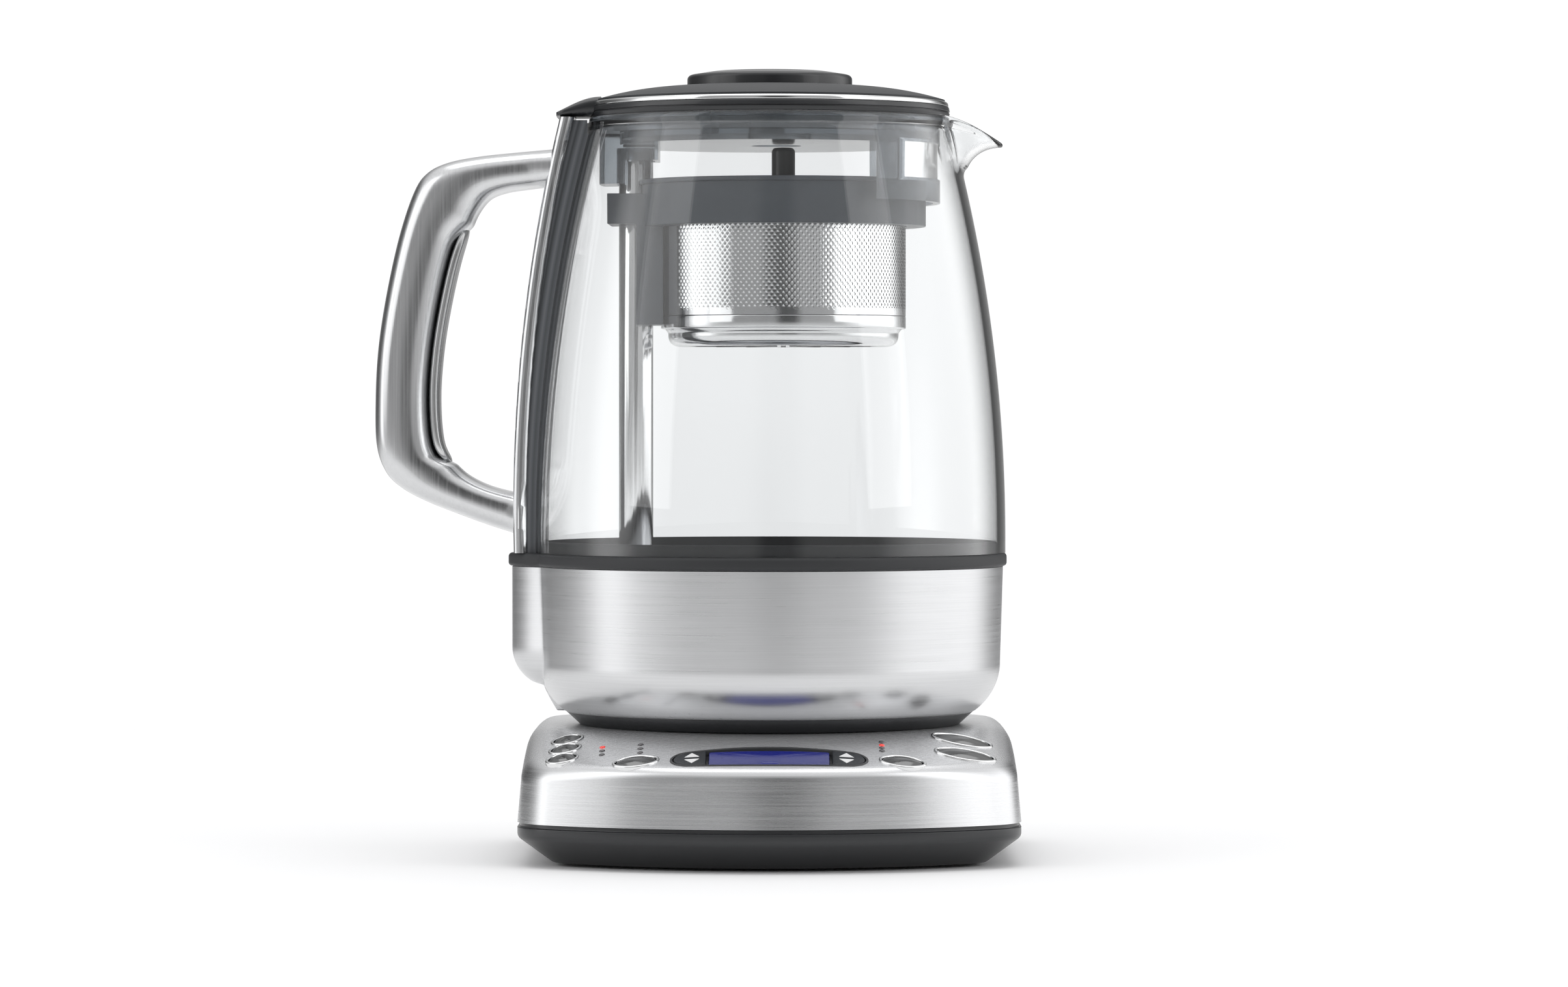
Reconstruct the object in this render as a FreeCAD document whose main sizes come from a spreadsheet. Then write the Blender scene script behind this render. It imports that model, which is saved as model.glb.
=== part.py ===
import FreeCAD, Part
import math
import os

import Sketcher

# An electric all-in-one tea brewer, in millimetres.  A glass jug with a heated steel base, a
# handle and a lid stands on a low power base.  Inside the jug a motor and a screw carry a magnet
# up and down a closed post, and the perforated tea basket follows the magnet outside the post.
# The origin is on the table under the jug's axis: +Z is up, -Y is the front with the controls,
# +X is the spout and -X is the handle.

SIZES = {
    # Power base.  Its plan and its sloping panel are drawn about one upright axis.
    "panel_axis_y": 22.0,
    "base_front_radius": 120.0,
    "base_half_width": 81.0,
    "base_rear_reach": 59.0,
    "base_front_corner": 25.0,
    "base_rear_corner": 30.0,
    "deck_top": 42.7,
    "deck_flat_radius": 84.0,
    "panel_slope": 0.287,
    "shell_bottom": 14.0,
    "shell_wall": 1.2,
    "housing_bottom": 1.0,
    "housing_side": 9.5,
    "housing_top": 12.6,
    "housing_inset": 0.6,
    "housing_undercut": 10.4,
    "housing_wall": 2.6,
    "housing_lip_top": 18.0,
    "lip_gap": 0.4,
    "foot_ring_inner": 50.0,
    "foot_ring_outer": 58.0,
    "foot_groove_depth": 1.2,
    "frame_plate": 2.6,
    "frame_radius": 58.0,
    "frame_post_radius": 4.5,
    "frame_post_place": 28.0,
    "base_screw_radius": 1.5,
    "base_screw_head": 3.0,
    "base_screw_head_depth": 1.5,
    "base_screw_top": 16.0,
    "connector_radius": 21.5,
    "connector_flange": 26.0,
    "connector_top": 45.5,
    "connector_boss_radius": 7.0,
    "connector_boss_top": 54.0,
    "contact_height": 0.8,
    "inlet_radius": 3.8,
    "inlet_bore": 3.0,
    "inlet_height": 8.6,
    "inlet_length": 15.0,
    # Circuit boards and what they carry.
    "board_thick": 1.6,
    "control_board_bottom": 18.6,
    "control_board_inset": 5.0,
    "control_board_inner": 86.0,
    "switch_size": 6.0,
    "switch_height": 4.4,
    "power_board_bottom": 8.0,
    "jug_board_bottom": 66.0,
    # Controls on the panel.
    "round_cap": 4.2,
    "oval_cap_long": 6.1,
    "oval_cap_deep": 4.4,
    "oval_cap_end": 2.6,
    "big_cap_long": 8.6,
    "big_cap_deep": 4.8,
    "big_cap_end": 2.4,
    "cap_gap": 0.3,
    "cap_rise": 1.3,
    "cap_skirt": 3.4,
    "surround_width": 1.0,
    "surround_rise": 0.3,
    "surround_depth": 3.0,
    "stem_radius": 1.8,
    "button_travel": 0.8,
    "stem_gap": 0.9,
    "round_button_x": -65.6,
    "round_button_y": -57.5,
    "round_button_lap": 0.2,
    "oval_button_x": 42.3,
    "oval_button_y": -82.2,
    "big_button_x": 62.0,
    "big_button_y": -50.0,
    "big_button_pitch": 16.0,
    "display_y": -84.2,
    "display_half_long": 31.5,
    "display_half_deep": 8.6,
    "display_end": 6.8,
    "display_rim": 0.9,
    "display_rise": 0.2,
    "window_half": 19.2,
    "divider": 0.8,
    "module_inset": 3.0,
    "rocker_rise": 0.3,
    "rocker_bottom": 30.0,
    "rocker_stem_radius": 1.2,
    "rocker_stem_place": 4.0,
    "rocker_stem_gap": 0.6,
    "light_radius": 0.75,
    "light_rise": 0.15,
    "light_depth": 2.5,
    "tea_light_x": -53.4,
    "tea_light_y": -62.6,
    "tea_light_pitch": 4.0,
    "tea_light_column": 12.3,
    "tea_light_drop": 3.0,
    "strength_light_x": 35.9,
    "strength_light_y": -64.9,
    "strength_light_pitch": 2.9,
    # Jug: steel base, seal, glass and what is in its foot.
    "foot_radius": 62.5,
    "foot_rim_radius": 67.2,
    "foot_rim_top": 47.0,
    "foot_recess": 1.3,
    "foot_plate_top": 48.2,
    "socket_wall": 3.3,
    "socket_gap": 1.2,
    "steel_wall": 0.9,
    "steel_low_radius": 67.4,
    "steel_bend": 20.8,
    "steel_bend_radius": 76.0,
    "steel_bend_top": 63.0,
    "steel_top_radius": 77.0,
    "steel_top": 94.9,
    "nose_place": 68.0,
    "nose_radius": 17.0,
    "nose_bottom": 56.0,
    "nose_bend": 12.0,
    "seal_radius": 78.2,
    "seal_height": 4.3,
    "seal_bore": 73.2,
    "seal_lip_height": 3.8,
    "glass_radius": 77.8,
    "glass_wall": 2.6,
    "glass_straight_top": 104.0,
    "glass_curve": 520.0,
    "glass_top": 241.7,
    "glass_bead": 2.0,
    "bead_circle": 59.0,
    "spout_root": 57.0,
    "spout_tip": 75.6,
    "spout_root_half": 15.5,
    "spout_tip_half": 4.2,
    "spout_root_low": 222.6,
    "spout_root_high": 243.8,
    "spout_tip_low": 231.4,
    "spout_tip_high": 233.2,
    "spout_wall": 1.6,
    "plate_thick": 1.6,
    "plate_gap": 0.2,
    "element_circle": 58.0,
    "element_radius": 3.2,
    "sensor_radius": 3.0,
    "sensor_place": 22.0,
    # Lift drive and its post.
    "post_x": -44.1,
    "post_half_x": 5.6,
    "post_half_y": 8.0,
    "post_top": 231.0,
    "post_wall": 0.8,
    "screw_radius": 2.0,
    "screw_top": 226.0,
    "screw_gap": 0.1,
    "shuttle_bottom": 183.0,
    "shuttle_height": 16.0,
    "shuttle_gap": 0.5,
    "motor_radius": 11.0,
    "motor_bottom": 52.0,
    "motor_top": 78.0,
    "bracket_wall": 1.4,
    # Handle and spine.
    "spine_reach": 84.2,
    "spine_curve": 550.0,
    "spine_middle": 113.0,
    "spine_top": 242.2,
    "spine_thick": 4.6,
    "spine_width": 28.0,
    "spine_edge": 2.0,
    "gasket_width": 24.0,
    "gasket_depth": 7.0,
    "handle_width": 24.0,
    "handle_top": 231.5,
    "handle_arm": 12.6,
    "handle_shoulder_x": -108.0,
    "handle_shoulder_z": 227.8,
    "grip_top_x": -117.5,
    "grip_top_z": 218.0,
    "grip_curve": 238.0,
    "grip_x": -130.1,
    "grip_low_z": 141.0,
    "grip_thick": 21.5,
    "heel_x": -118.0,
    "heel_z": 118.2,
    "arm_low_z": 104.0,
    "insert_thick": 3.7,
    "insert_width": 17.0,
    "handle_screw_radius": 1.7,
    "handle_screw_length": 16.0,
    # Basket, its bracket on the post and its lid.
    "basket_x": 4.5,
    "basket_radius": 40.4,
    "basket_wall": 0.5,
    "ring_radius": 47.0,
    "ring_lip": 48.0,
    "ring_bottom": 206.4,
    "ring_top": 221.5,
    "ring_seat": 216.0,
    "basket_gap": 0.1,
    "bracket_left": -53.0,
    "bracket_half": 13.0,
    "bracket_top": 217.0,
    "bracket_bottom": 174.0,
    "bracket_leg_x": -43.5,
    "post_slot_gap": 0.4,
    "magnet_thick": 2.8,
    "band_bottom": 172.7,
    "band_top": 177.0,
    "base_cap_bottom": 167.0,
    "base_cap_radius": 38.0,
    "base_cap_wall": 1.6,
    "base_slot_width": 1.6,
    "basket_lid_thick": 2.0,
    "rod_radius": 3.85,
    "rod_top": 232.4,
    # Jug lid.
    "lid_radius": 59.4,
    "lid_rim_top": 245.8,
    "lid_inner": 50.0,
    "lid_ring_top": 247.8,
    "lid_ring_radius": 59.0,
    "lid_ring_inner": 55.0,
    "lid_crown": 252.5,
    "lid_crown_curve": 150.0,
    "knob_radius": 27.2,
    "knob_top": 257.6,
    "knob_edge": 1.2,
    "collar_radius": 56.2,
    "collar_bottom": 236.5,
    "tub_bottom": 233.0,
    "tub_wall": 2.0,
    "tub_recess": 6.0,
    "lid_screw_radius": 1.6,
    "lid_screw_circle": 40.0,
    "skirt_bottom": 214.0,
    "skirt_start": 34.0,
    "skirt_wall": 2.2,
    "filter_low": 220.5,
    "filter_high": 234.0,
    "filter_half": 36.0,
    "filter_thick": 0.6,
    "keeper_left": -56.0,
    "keeper_step": -47.6,
    "keeper_right": -36.5,
    "keeper_bottom": 220.2,
    "keeper_step_z": 228.0,
    "keeper_half": 11.0,
    "keeper_gap": 0.6,
    "tail_reach": 70.0,
    "tail_half": 14.0,
    "tail_low": 242.8,
}

doc = FreeCAD.newDocument("tea_brewer")
sheet = doc.addObject("Spreadsheet::Sheet", "Dims")


class Size:
    """A number that keeps the spreadsheet formula it comes from, so that sums stay live."""

    def __init__(self, value, formula):
        self.value = value
        self.formula = formula

    def __add__(self, other):
        return Size(self.value + number(other), f"({self.formula} + {formula(other)})")

    def __radd__(self, other):
        return Size(number(other) + self.value, f"({formula(other)} + {self.formula})")

    def __sub__(self, other):
        return Size(self.value - number(other), f"({self.formula} - {formula(other)})")

    def __rsub__(self, other):
        return Size(number(other) - self.value, f"({formula(other)} - {self.formula})")

    def __mul__(self, other):
        return Size(self.value * number(other), f"({self.formula} * {formula(other)})")

    def __rmul__(self, other):
        return Size(number(other) * self.value, f"({formula(other)} * {self.formula})")

    def __truediv__(self, other):
        return Size(self.value / number(other), f"({self.formula} / {formula(other)})")

    def __neg__(self):
        return Size(-self.value, f"(0 - {self.formula})")


def number(item):
    return item.value if isinstance(item, Size) else float(item)


def formula(item):
    return item.formula if isinstance(item, Size) else repr(float(item))


def square(item):
    return item * item


def root(item):
    return Size(math.sqrt(number(item)), f"sqrt({formula(item)})")


class Dimensions:
    """Every driving size as an attribute, each tied to its own cell of the sheet."""

    def __init__(self, sizes):
        for row, (name, value) in enumerate(sizes.items(), start=1):
            sheet.set(f"A{row}", name)
            sheet.set(f"B{row}", str(value))
            sheet.setAlias(f"B{row}", name)
            setattr(self, name, Size(value, f"Dims.{name}"))


d = Dimensions(SIZES)
doc.recompute()

parts = {}


# ---------------------------------------------------------------- building blocks


def part(name, item):
    """Registers a finished sub-part under the name of its file."""
    item.Label = name
    parts[name] = item
    return item


def moved(item, x=0.0, y=0.0, z=0.0):
    """Ties an object's place to sizes."""
    for letter, place in zip("xyz", (x, y, z)):
        item.setExpression(f"Placement.Base.{letter}", formula(place))
    return item


def new_body(name, x=0.0, y=0.0, z=0.0):
    body = doc.addObject("PartDesign::Body", name)
    body.Label = f"{name}_body"
    return moved(body, x, y, z)


def origin_feature(body, role):
    for feature in body.Origin.OriginFeatures:
        if feature.Role == role:
            return feature
    raise ValueError(f"no origin feature {role}")


def sketch_on(body, plane, offset=0.0):
    """A sketch on one of the body's own origin planes, moved along its normal."""
    sketch = body.newObject("Sketcher::SketchObject", "Sketch")
    sketch.AttachmentSupport = [(origin_feature(body, plane), "")]
    sketch.MapMode = "FlatFace"
    sketch.setExpression("AttachmentOffset.Base.z", formula(offset))
    return sketch


def fix(sketch, kind, place, size):
    """Adds one dimension to a sketch and ties it to its formula."""
    index = sketch.addConstraint(Sketcher.Constraint(kind, *place, number(size)))
    if isinstance(size, Size):
        sketch.setExpression(f"Constraints[{index}]", size.formula)


def arc_edge(start, end, radius):
    """The short arc from start to end that turns left, about the centre on its left."""
    chord = end - start
    half = chord.Length / 2
    rise = math.sqrt(max(radius * radius - half * half, 0.0))
    left = FreeCAD.Vector(-chord.y, chord.x, 0).normalize()
    centre = start + chord * 0.5 + left * rise
    first = math.atan2(start.y - centre.y, start.x - centre.x)
    last = math.atan2(end.y - centre.y, end.x - centre.x)
    if last < first:
        last += 2 * math.pi
    circle = Part.Circle(centre, FreeCAD.Vector(0, 0, 1), radius)
    return Part.ArcOfCircle(circle, first, last)


def draw_outline(sketch, corners):
    """A closed outline through corners (x, y) or (x, y, radius).  With a radius, the edge that
    ends at the corner is an arc: it turns left for a positive radius and right for a negative."""
    points = [FreeCAD.Vector(number(c[0]), number(c[1]), 0) for c in corners]
    ends = []
    offset = sketch.GeometryCount
    for index, start in enumerate(points):
        following = (index + 1) % len(points)
        corner = corners[following]
        end = points[following]
        if len(corner) == 2:
            sketch.addGeometry(Part.LineSegment(start, end), False)
            ends.append((1, 2))
        elif number(corner[2]) > 0:
            sketch.addGeometry(arc_edge(start, end, number(corner[2])), False)
            ends.append((1, 2))
        else:
            sketch.addGeometry(arc_edge(end, start, -number(corner[2])), False)
            ends.append((2, 1))
    count = len(points)
    for index in range(count):
        following = (index + 1) % count
        sketch.addConstraint(
            Sketcher.Constraint(
                "Coincident", offset + index, ends[index][1], offset + following, ends[following][0]
            )
        )
    for index in range(count):
        place = (-1, 1, offset + index, ends[index][0])
        fix(sketch, "DistanceX", place, corners[index][0])
        fix(sketch, "DistanceY", place, corners[index][1])
        radius = corners[(index + 1) % count][2:]
        if radius:
            size = radius[0] if number(radius[0]) > 0 else -radius[0]
            fix(sketch, "Radius", (offset + index,), size)


def draw_box(sketch, low_x, high_x, low_y, high_y):
    draw_outline(sketch, [(low_x, low_y), (high_x, low_y), (high_x, high_y), (low_x, high_y)])


def draw_circle(sketch, x, y, radius):
    centre = FreeCAD.Vector(number(x), number(y), 0)
    index = sketch.addGeometry(
        Part.Circle(centre, FreeCAD.Vector(0, 0, 1), number(radius)), False
    )
    fix(sketch, "DistanceX", (-1, 1, index, 3), x)
    fix(sketch, "DistanceY", (-1, 1, index, 3), y)
    fix(sketch, "Radius", (index,), radius)


def draw_oval(sketch, half_x, half_y, end, x=0.0, y=0.0):
    """An oval of four tangent arcs: two of the end radius, two that join them."""
    long_arc = (square(half_x) - 2 * half_x * end + square(half_y)) / (2 * (half_y - end))
    share = long_arc / (long_arc - end)
    touch_x = (half_x - end) * share
    touch_y = (long_arc - half_y) * end / (long_arc - end)
    draw_outline(
        sketch,
        [
            (x - touch_x, y - touch_y, end),
            (x + touch_x, y - touch_y, long_arc),
            (x + touch_x, y + touch_y, end),
            (x - touch_x, y + touch_y, long_arc),
        ],
    )


def draw_slot(sketch, half_x, half_y, x=0.0, y=0.0):
    """A slot with round ends, long in y: each end is two quarter arcs."""
    straight = half_y - half_x
    draw_outline(
        sketch,
        [
            (x - half_x, y - straight),
            (x, y - half_y, half_x),
            (x + half_x, y - straight, half_x),
            (x + half_x, y + straight),
            (x, y + half_y, half_x),
            (x - half_x, y + straight, half_x),
        ],
    )


def pad(body, sketch, length, middle=False):
    feature = body.newObject("PartDesign::Pad", "Pad")
    feature.Profile = sketch
    feature.setExpression("Length", formula(length))
    feature.Midplane = middle
    return feature


def pocket(body, sketch, length, middle=False, upwards=False):
    feature = body.newObject("PartDesign::Pocket", "Pocket")
    feature.Profile = sketch
    feature.setExpression("Length", formula(length))
    feature.Midplane = middle
    feature.Reversed = upwards
    return feature


def turn(body, sketch, kind="PartDesign::Revolution"):
    feature = body.newObject(kind, "Turn")
    feature.Profile = sketch
    feature.ReferenceAxis = (origin_feature(body, "Z_Axis"), [""])
    feature.Angle = 360.0
    return feature


def turned(name, profile, x=0.0, y=0.0, z=0.0):
    """A body of revolution about its own upright axis, from a profile of (radius, height)."""
    body = new_body(name, x, y, z)
    sketch = sketch_on(body, "XZ_Plane")
    draw_outline(sketch, profile)
    turn(body, sketch)
    return body


def side_profile(name, corners, width):
    """A body drawn from the front in x and z, and as thick in y as the width."""
    body = new_body(name)
    sketch = sketch_on(body, "XZ_Plane")
    draw_outline(sketch, corners)
    pad(body, sketch, width, middle=True)
    return body


def ring_profile(inner, outer, low, high):
    return [(inner, low), (outer, low), (outer, high), (inner, high)]


def cylinder(name, radius, low, high, x=0.0, y=0.0):
    item = doc.addObject("Part::Cylinder", name)
    item.setExpression("Radius", formula(radius))
    item.setExpression("Height", formula(high - low))
    return moved(item, x, y, low)


def rod_along_x(name, radius, low, high, y, z):
    """A cylinder that lies along x."""
    item = doc.addObject("Part::Cylinder", name)
    item.setExpression("Radius", formula(radius))
    item.setExpression("Height", formula(high - low))
    item.Placement.Rotation = FreeCAD.Rotation(FreeCAD.Vector(0, 1, 0), 90)
    return moved(item, low, y, z)


def rod_along_y(name, radius, low, high, x, z):
    """A cylinder that lies along y."""
    item = doc.addObject("Part::Cylinder", name)
    item.setExpression("Radius", formula(radius))
    item.setExpression("Height", formula(high - low))
    item.Placement.Rotation = FreeCAD.Rotation(FreeCAD.Vector(1, 0, 0), -90)
    return moved(item, x, low, z)


def box(name, low_x, high_x, low_y, high_y, low_z, high_z):
    item = doc.addObject("Part::Box", name)
    item.setExpression("Length", formula(high_x - low_x))
    item.setExpression("Width", formula(high_y - low_y))
    item.setExpression("Height", formula(high_z - low_z))
    return moved(item, low_x, low_y, low_z)


def fuse(name, *items):
    joined = doc.addObject("Part::MultiFuse", name)
    joined.Shapes = list(items)
    joined.Refine = True
    return joined


def group(name, *items):
    """Separate solids that share one node, such as identical screws."""
    joined = doc.addObject("Part::MultiFuse", name)
    joined.Shapes = list(items)
    return joined


def cut(name, base, *tools):
    result = doc.addObject("Part::Cut", name)
    result.Base = base
    result.Tool = tools[0] if len(tools) == 1 else group(f"{name}_tools", *tools)
    result.Refine = True
    return result


def common(name, base, tool):
    result = doc.addObject("Part::Common", name)
    result.Base = base
    result.Tool = tool
    return result


def mirrored_places(x, y):
    """The four places of a pattern that is symmetric about both upright planes."""
    return [(x, y), (-x, y), (-x, -y), (x, -y)]


# ---------------------------------------------------------------- power base


def base_outline(sketch, inset):
    """Plan of the power base about the panel axis, moved in by the inset: a front arc,
    straight sides, a straight rear and a round corner between each two."""
    front = d.base_front_radius - inset
    side = d.base_half_width - inset
    rear = d.base_rear_reach - inset
    corner = d.base_front_corner - inset
    rear_corner = d.base_rear_corner - inset
    centre_x = side - corner
    centre_y = -root(square(front - corner) - square(centre_x))
    reach = front / (front - corner)
    draw_outline(
        sketch,
        [
            (-centre_x * reach, centre_y * reach, corner),
            (centre_x * reach, centre_y * reach, front),
            (side, centre_y, corner),
            (side, rear - rear_corner),
            (side - rear_corner, rear, rear_corner),
            (rear_corner - side, rear),
            (-side, rear - rear_corner, rear_corner),
            (-side, centre_y),
        ],
    )


def trim_to_panel(body, rise):
    """Cuts away what stands above the deck and the sloping panel, both raised by the rise."""
    top = d.deck_top + rise
    far = d.base_front_radius + 10
    high = d.deck_top + 30
    sketch = sketch_on(body, "XZ_Plane")
    draw_outline(
        sketch,
        [
            (0, top),
            (d.deck_flat_radius, top),
            (far, top - d.panel_slope * (far - d.deck_flat_radius)),
            (far, high),
            (0, high),
        ],
    )
    turn(body, sketch, "PartDesign::Groove")


def panel_block(name, inset, low, rise):
    """A block with the plan of the base whose top follows the deck and the panel."""
    body = new_body(name, y=d.panel_axis_y)
    sketch = sketch_on(body, "XY_Plane", low)
    base_outline(sketch, inset)
    pad(body, sketch, d.deck_top + 10 - low)
    trim_to_panel(body, rise)
    return body


def housing_block(name, bottom, low_inset, side, side_inset, top_inset, top):
    """The tapered lower part of the base: a loft up to its side, then an upright lip."""
    body = new_body(name, y=d.panel_axis_y)
    low = sketch_on(body, "XY_Plane", bottom)
    base_outline(low, low_inset)
    high = sketch_on(body, "XY_Plane", side)
    base_outline(high, side_inset)
    loft = body.newObject("PartDesign::AdditiveLoft", "Taper")
    loft.Profile = low
    loft.Sections = [high]
    loft.Ruled = True
    upright = sketch_on(body, "XY_Plane", side)
    base_outline(upright, side_inset)
    pad(body, upright, d.housing_top - side)
    lip = sketch_on(body, "XY_Plane", d.housing_top - 1)
    base_outline(lip, top_inset)
    pad(body, lip, top - d.housing_top + 1)
    return body


FLOOR_TOP = d.housing_bottom + d.housing_wall
SCREW_SEAT = d.housing_bottom + d.base_screw_head_depth
POSTS = mirrored_places(d.frame_post_place, d.frame_post_place)


def lower_housing():
    lip_inset = d.shell_wall + d.lip_gap
    block = housing_block(
        "housing_outside", d.housing_bottom, d.housing_inset + d.housing_undercut,
        d.housing_side, d.housing_inset, lip_inset, d.housing_lip_top,
    )
    cavity = housing_block(
        "housing_inside", FLOOR_TOP, d.housing_inset + d.housing_undercut + d.housing_wall,
        d.housing_side, d.housing_inset + d.housing_wall, lip_inset + 2, d.housing_lip_top + 1,
    )
    tray = cut("housing_tray", block, cavity)
    front = d.panel_axis_y - d.base_front_radius
    standoffs = [
        cylinder("standoff", 3, FLOOR_TOP, d.control_board_bottom, side * x, front + y)
        for x, y in ((30, 24), (58, 46))
        for side in (-1, 1)
    ]
    holes = [
        cylinder("screw_hole", d.base_screw_radius + 0.3, d.housing_bottom, FLOOR_TOP, x, y)
        for x, y in POSTS
    ]
    heads = [
        cylinder("head_recess", d.base_screw_head + 0.4, d.housing_bottom, SCREW_SEAT, x, y)
        for x, y in POSTS
    ]
    groove = turned("foot_groove", foot_ring_profile(d.housing_bottom))
    inlet = rod_along_y("inlet_hole", d.inlet_radius, inlet_front(), inlet_front() + 30, 0,
                        d.inlet_height)
    whole = fuse("housing_whole", tray, *standoffs)
    part("base_lower_housing", cut("base_lower_housing", whole, groove, inlet, *holes, *heads))


def foot_ring_profile(low):
    top = d.housing_bottom + d.foot_groove_depth
    return ring_profile(d.foot_ring_inner, d.foot_ring_outer, low, top)


def inlet_front():
    rear = d.panel_axis_y + d.base_rear_reach
    return rear - 1 - d.inlet_length


def base_small_pieces():
    part("rubber_foot_ring", turned("rubber_foot_ring", foot_ring_profile(0)))
    screws = []
    for x, y in POSTS:
        screws.append(cylinder("head", d.base_screw_head, d.housing_bottom + 0.1, SCREW_SEAT, x, y))
        screws.append(cylinder("shank", d.base_screw_radius, SCREW_SEAT, d.base_screw_top, x, y))
    part("base_screws", fuse("base_screws", *screws))
    back = inlet_front() + d.inlet_length
    tube = rod_along_y("inlet_tube", d.inlet_radius, inlet_front(), back, 0, d.inlet_height)
    bore = rod_along_y("inlet_bore", d.inlet_bore, inlet_front(), back, 0, d.inlet_height)
    part("cord_inlet", cut("cord_inlet", tube, bore))


def inner_frame():
    under_deck = d.deck_top - d.shell_wall
    plate_low = under_deck - d.frame_plate
    plate = cylinder("frame_disc", d.frame_radius, plate_low, under_deck)
    posts = [
        cylinder("frame_post", d.frame_post_radius, FLOOR_TOP, plate_low, x, y) for x, y in POSTS
    ]
    holes = [
        cylinder("frame_hole", d.base_screw_radius, FLOOR_TOP, d.base_screw_top + 1, x, y)
        for x, y in POSTS
    ]
    opening = cylinder("frame_opening", d.connector_radius + 0.2, plate_low, under_deck)
    whole = fuse("frame_whole", plate, *posts)
    part("base_inner_frame", cut("base_inner_frame", whole, opening, *holes))


def power_connector():
    plate_low = d.deck_top - d.shell_wall - d.frame_plate
    flange_low = plate_low - 4
    part(
        "base_connector",
        turned(
            "base_connector",
            [
                (0, flange_low),
                (d.connector_flange, flange_low),
                (d.connector_flange, plate_low),
                (d.connector_radius, plate_low),
                (d.connector_radius, d.connector_top),
                (d.connector_boss_radius, d.connector_top),
                (d.connector_boss_radius, d.connector_boss_top),
                (0, d.connector_boss_top),
            ],
        ),
    )
    top = d.connector_top + d.contact_height
    inner = turned("inner_contact", ring_profile(d.connector_boss_radius + 4,
                                                 d.connector_boss_radius + 5.5,
                                                 d.connector_top, top))
    outer = turned("outer_contact", ring_profile(d.connector_radius - 4,
                                                 d.connector_radius - 2.5,
                                                 d.connector_top, top))
    pin = cylinder("centre_contact", 2, d.connector_boss_top,
                   d.connector_boss_top + d.contact_height)
    part("base_contacts", group("base_contacts", inner, outer, pin))


def board_with_parts():
    """The power board on the floor of the base, with its relay and its transformer."""
    low = d.power_board_bottom
    top = low + d.board_thick
    board = box("board", -45, 45, 36, 62, low, top)
    part("power_board", board)
    part("power_relay", box("power_relay", -38, -18, 40, 56, top, top + 15))
    part("power_transformer", box("power_transformer", 4, 36, 38, 60, top, top + 18))


def control_board():
    body = new_body("control_board", y=d.panel_axis_y)
    low = d.control_board_bottom
    sketch = sketch_on(body, "XY_Plane", low)
    base_outline(sketch, d.control_board_inset)
    pad(body, sketch, d.board_thick)
    middle = sketch_on(body, "XY_Plane", low)
    draw_circle(middle, 0, 0, d.control_board_inner)
    pocket(body, middle, d.board_thick, upwards=True)
    rear = sketch_on(body, "XY_Plane", low)
    draw_box(rear, -90, 90, -60, 70)
    pocket(body, rear, d.board_thick, upwards=True)
    part("control_board", body)


# ---------------------------------------------------------------- controls


def panel_height(x, y):
    """Height of the panel's surface over a place on the sloping part."""
    reach = root(square(x) + square(y - d.panel_axis_y))
    return d.deck_top - d.panel_slope * (reach - d.deck_flat_radius)


def lean_onto_panel(item, x, y):
    """Stands an object on the panel, its own z along the panel's normal."""
    away = FreeCAD.Vector(number(x), number(y) - d.panel_axis_y.value, 0).normalize()
    axis = FreeCAD.Vector(-away.y, away.x, 0)
    tilt = math.degrees(math.atan(d.panel_slope.value))
    item.Placement = FreeCAD.Placement(FreeCAD.Vector(), FreeCAD.Rotation(axis, tilt))
    return moved(item, x, y, panel_height(x, y))


ROUND = (d.round_cap, d.round_cap, None)
OVAL = (d.oval_cap_long, d.oval_cap_deep, d.oval_cap_end)
BIG = (d.big_cap_long, d.big_cap_deep, d.big_cap_end)

# The plans of the round buttons' rings lap a little, because the sloping panel spreads them.
ROUND_PITCH = (d.round_cap + d.cap_gap + d.surround_width) * 2 - d.round_button_lap

BUTTONS = {
    "auto_start_button": (ROUND, d.round_button_x + 0.4, d.round_button_y + ROUND_PITCH),
    "keep_warm_button": (ROUND, d.round_button_x, d.round_button_y),
    "basket_button": (ROUND, d.round_button_x - 0.5, d.round_button_y - ROUND_PITCH),
    "tea_type_button": (OVAL, -d.oval_button_x, d.oval_button_y),
    "strength_button": (OVAL, d.oval_button_x, d.oval_button_y),
    "hot_water_button": (BIG, d.big_button_x, d.big_button_y),
    "tea_button": (BIG, d.big_button_x + 0.6, d.big_button_y - d.big_button_pitch),
}


def cap_shape(sketch, shape, grow):
    """The outline of a cap, grown on all sides."""
    long, deep, end = shape
    if end is None:
        draw_circle(sketch, 0, 0, long + grow)
    else:
        draw_oval(sketch, long + grow, deep + grow, end + grow)


def leaning_block(name, shape, grow, low, high, x, y):
    """A short prism with a cap's outline, between two heights along the panel's normal."""
    body = new_body(name)
    sketch = sketch_on(body, "XY_Plane", low)
    cap_shape(sketch, shape, grow)
    pad(body, sketch, high - low)
    return lean_onto_panel(body, x, y)


def switch_top():
    return d.control_board_bottom + d.board_thick + d.switch_height


def button(name, shape, x, y):
    """A cap with a skirt in the panel and a stem down to its switch."""
    body = new_body(name)
    low = sketch_on(body, "XY_Plane", -d.cap_skirt)
    cap_shape(low, shape, 0)
    pad(body, low, d.cap_skirt + d.cap_rise)
    end = (panel_height(x, y) - switch_top() - d.stem_gap - d.button_travel) * math.hypot(
        1, d.panel_slope.value
    )
    stem = sketch_on(body, "XY_Plane", -end)
    draw_circle(stem, 0, 0, d.stem_radius)
    pad(body, stem, end - d.cap_skirt)
    part(name, lean_onto_panel(body, x, y))


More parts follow.
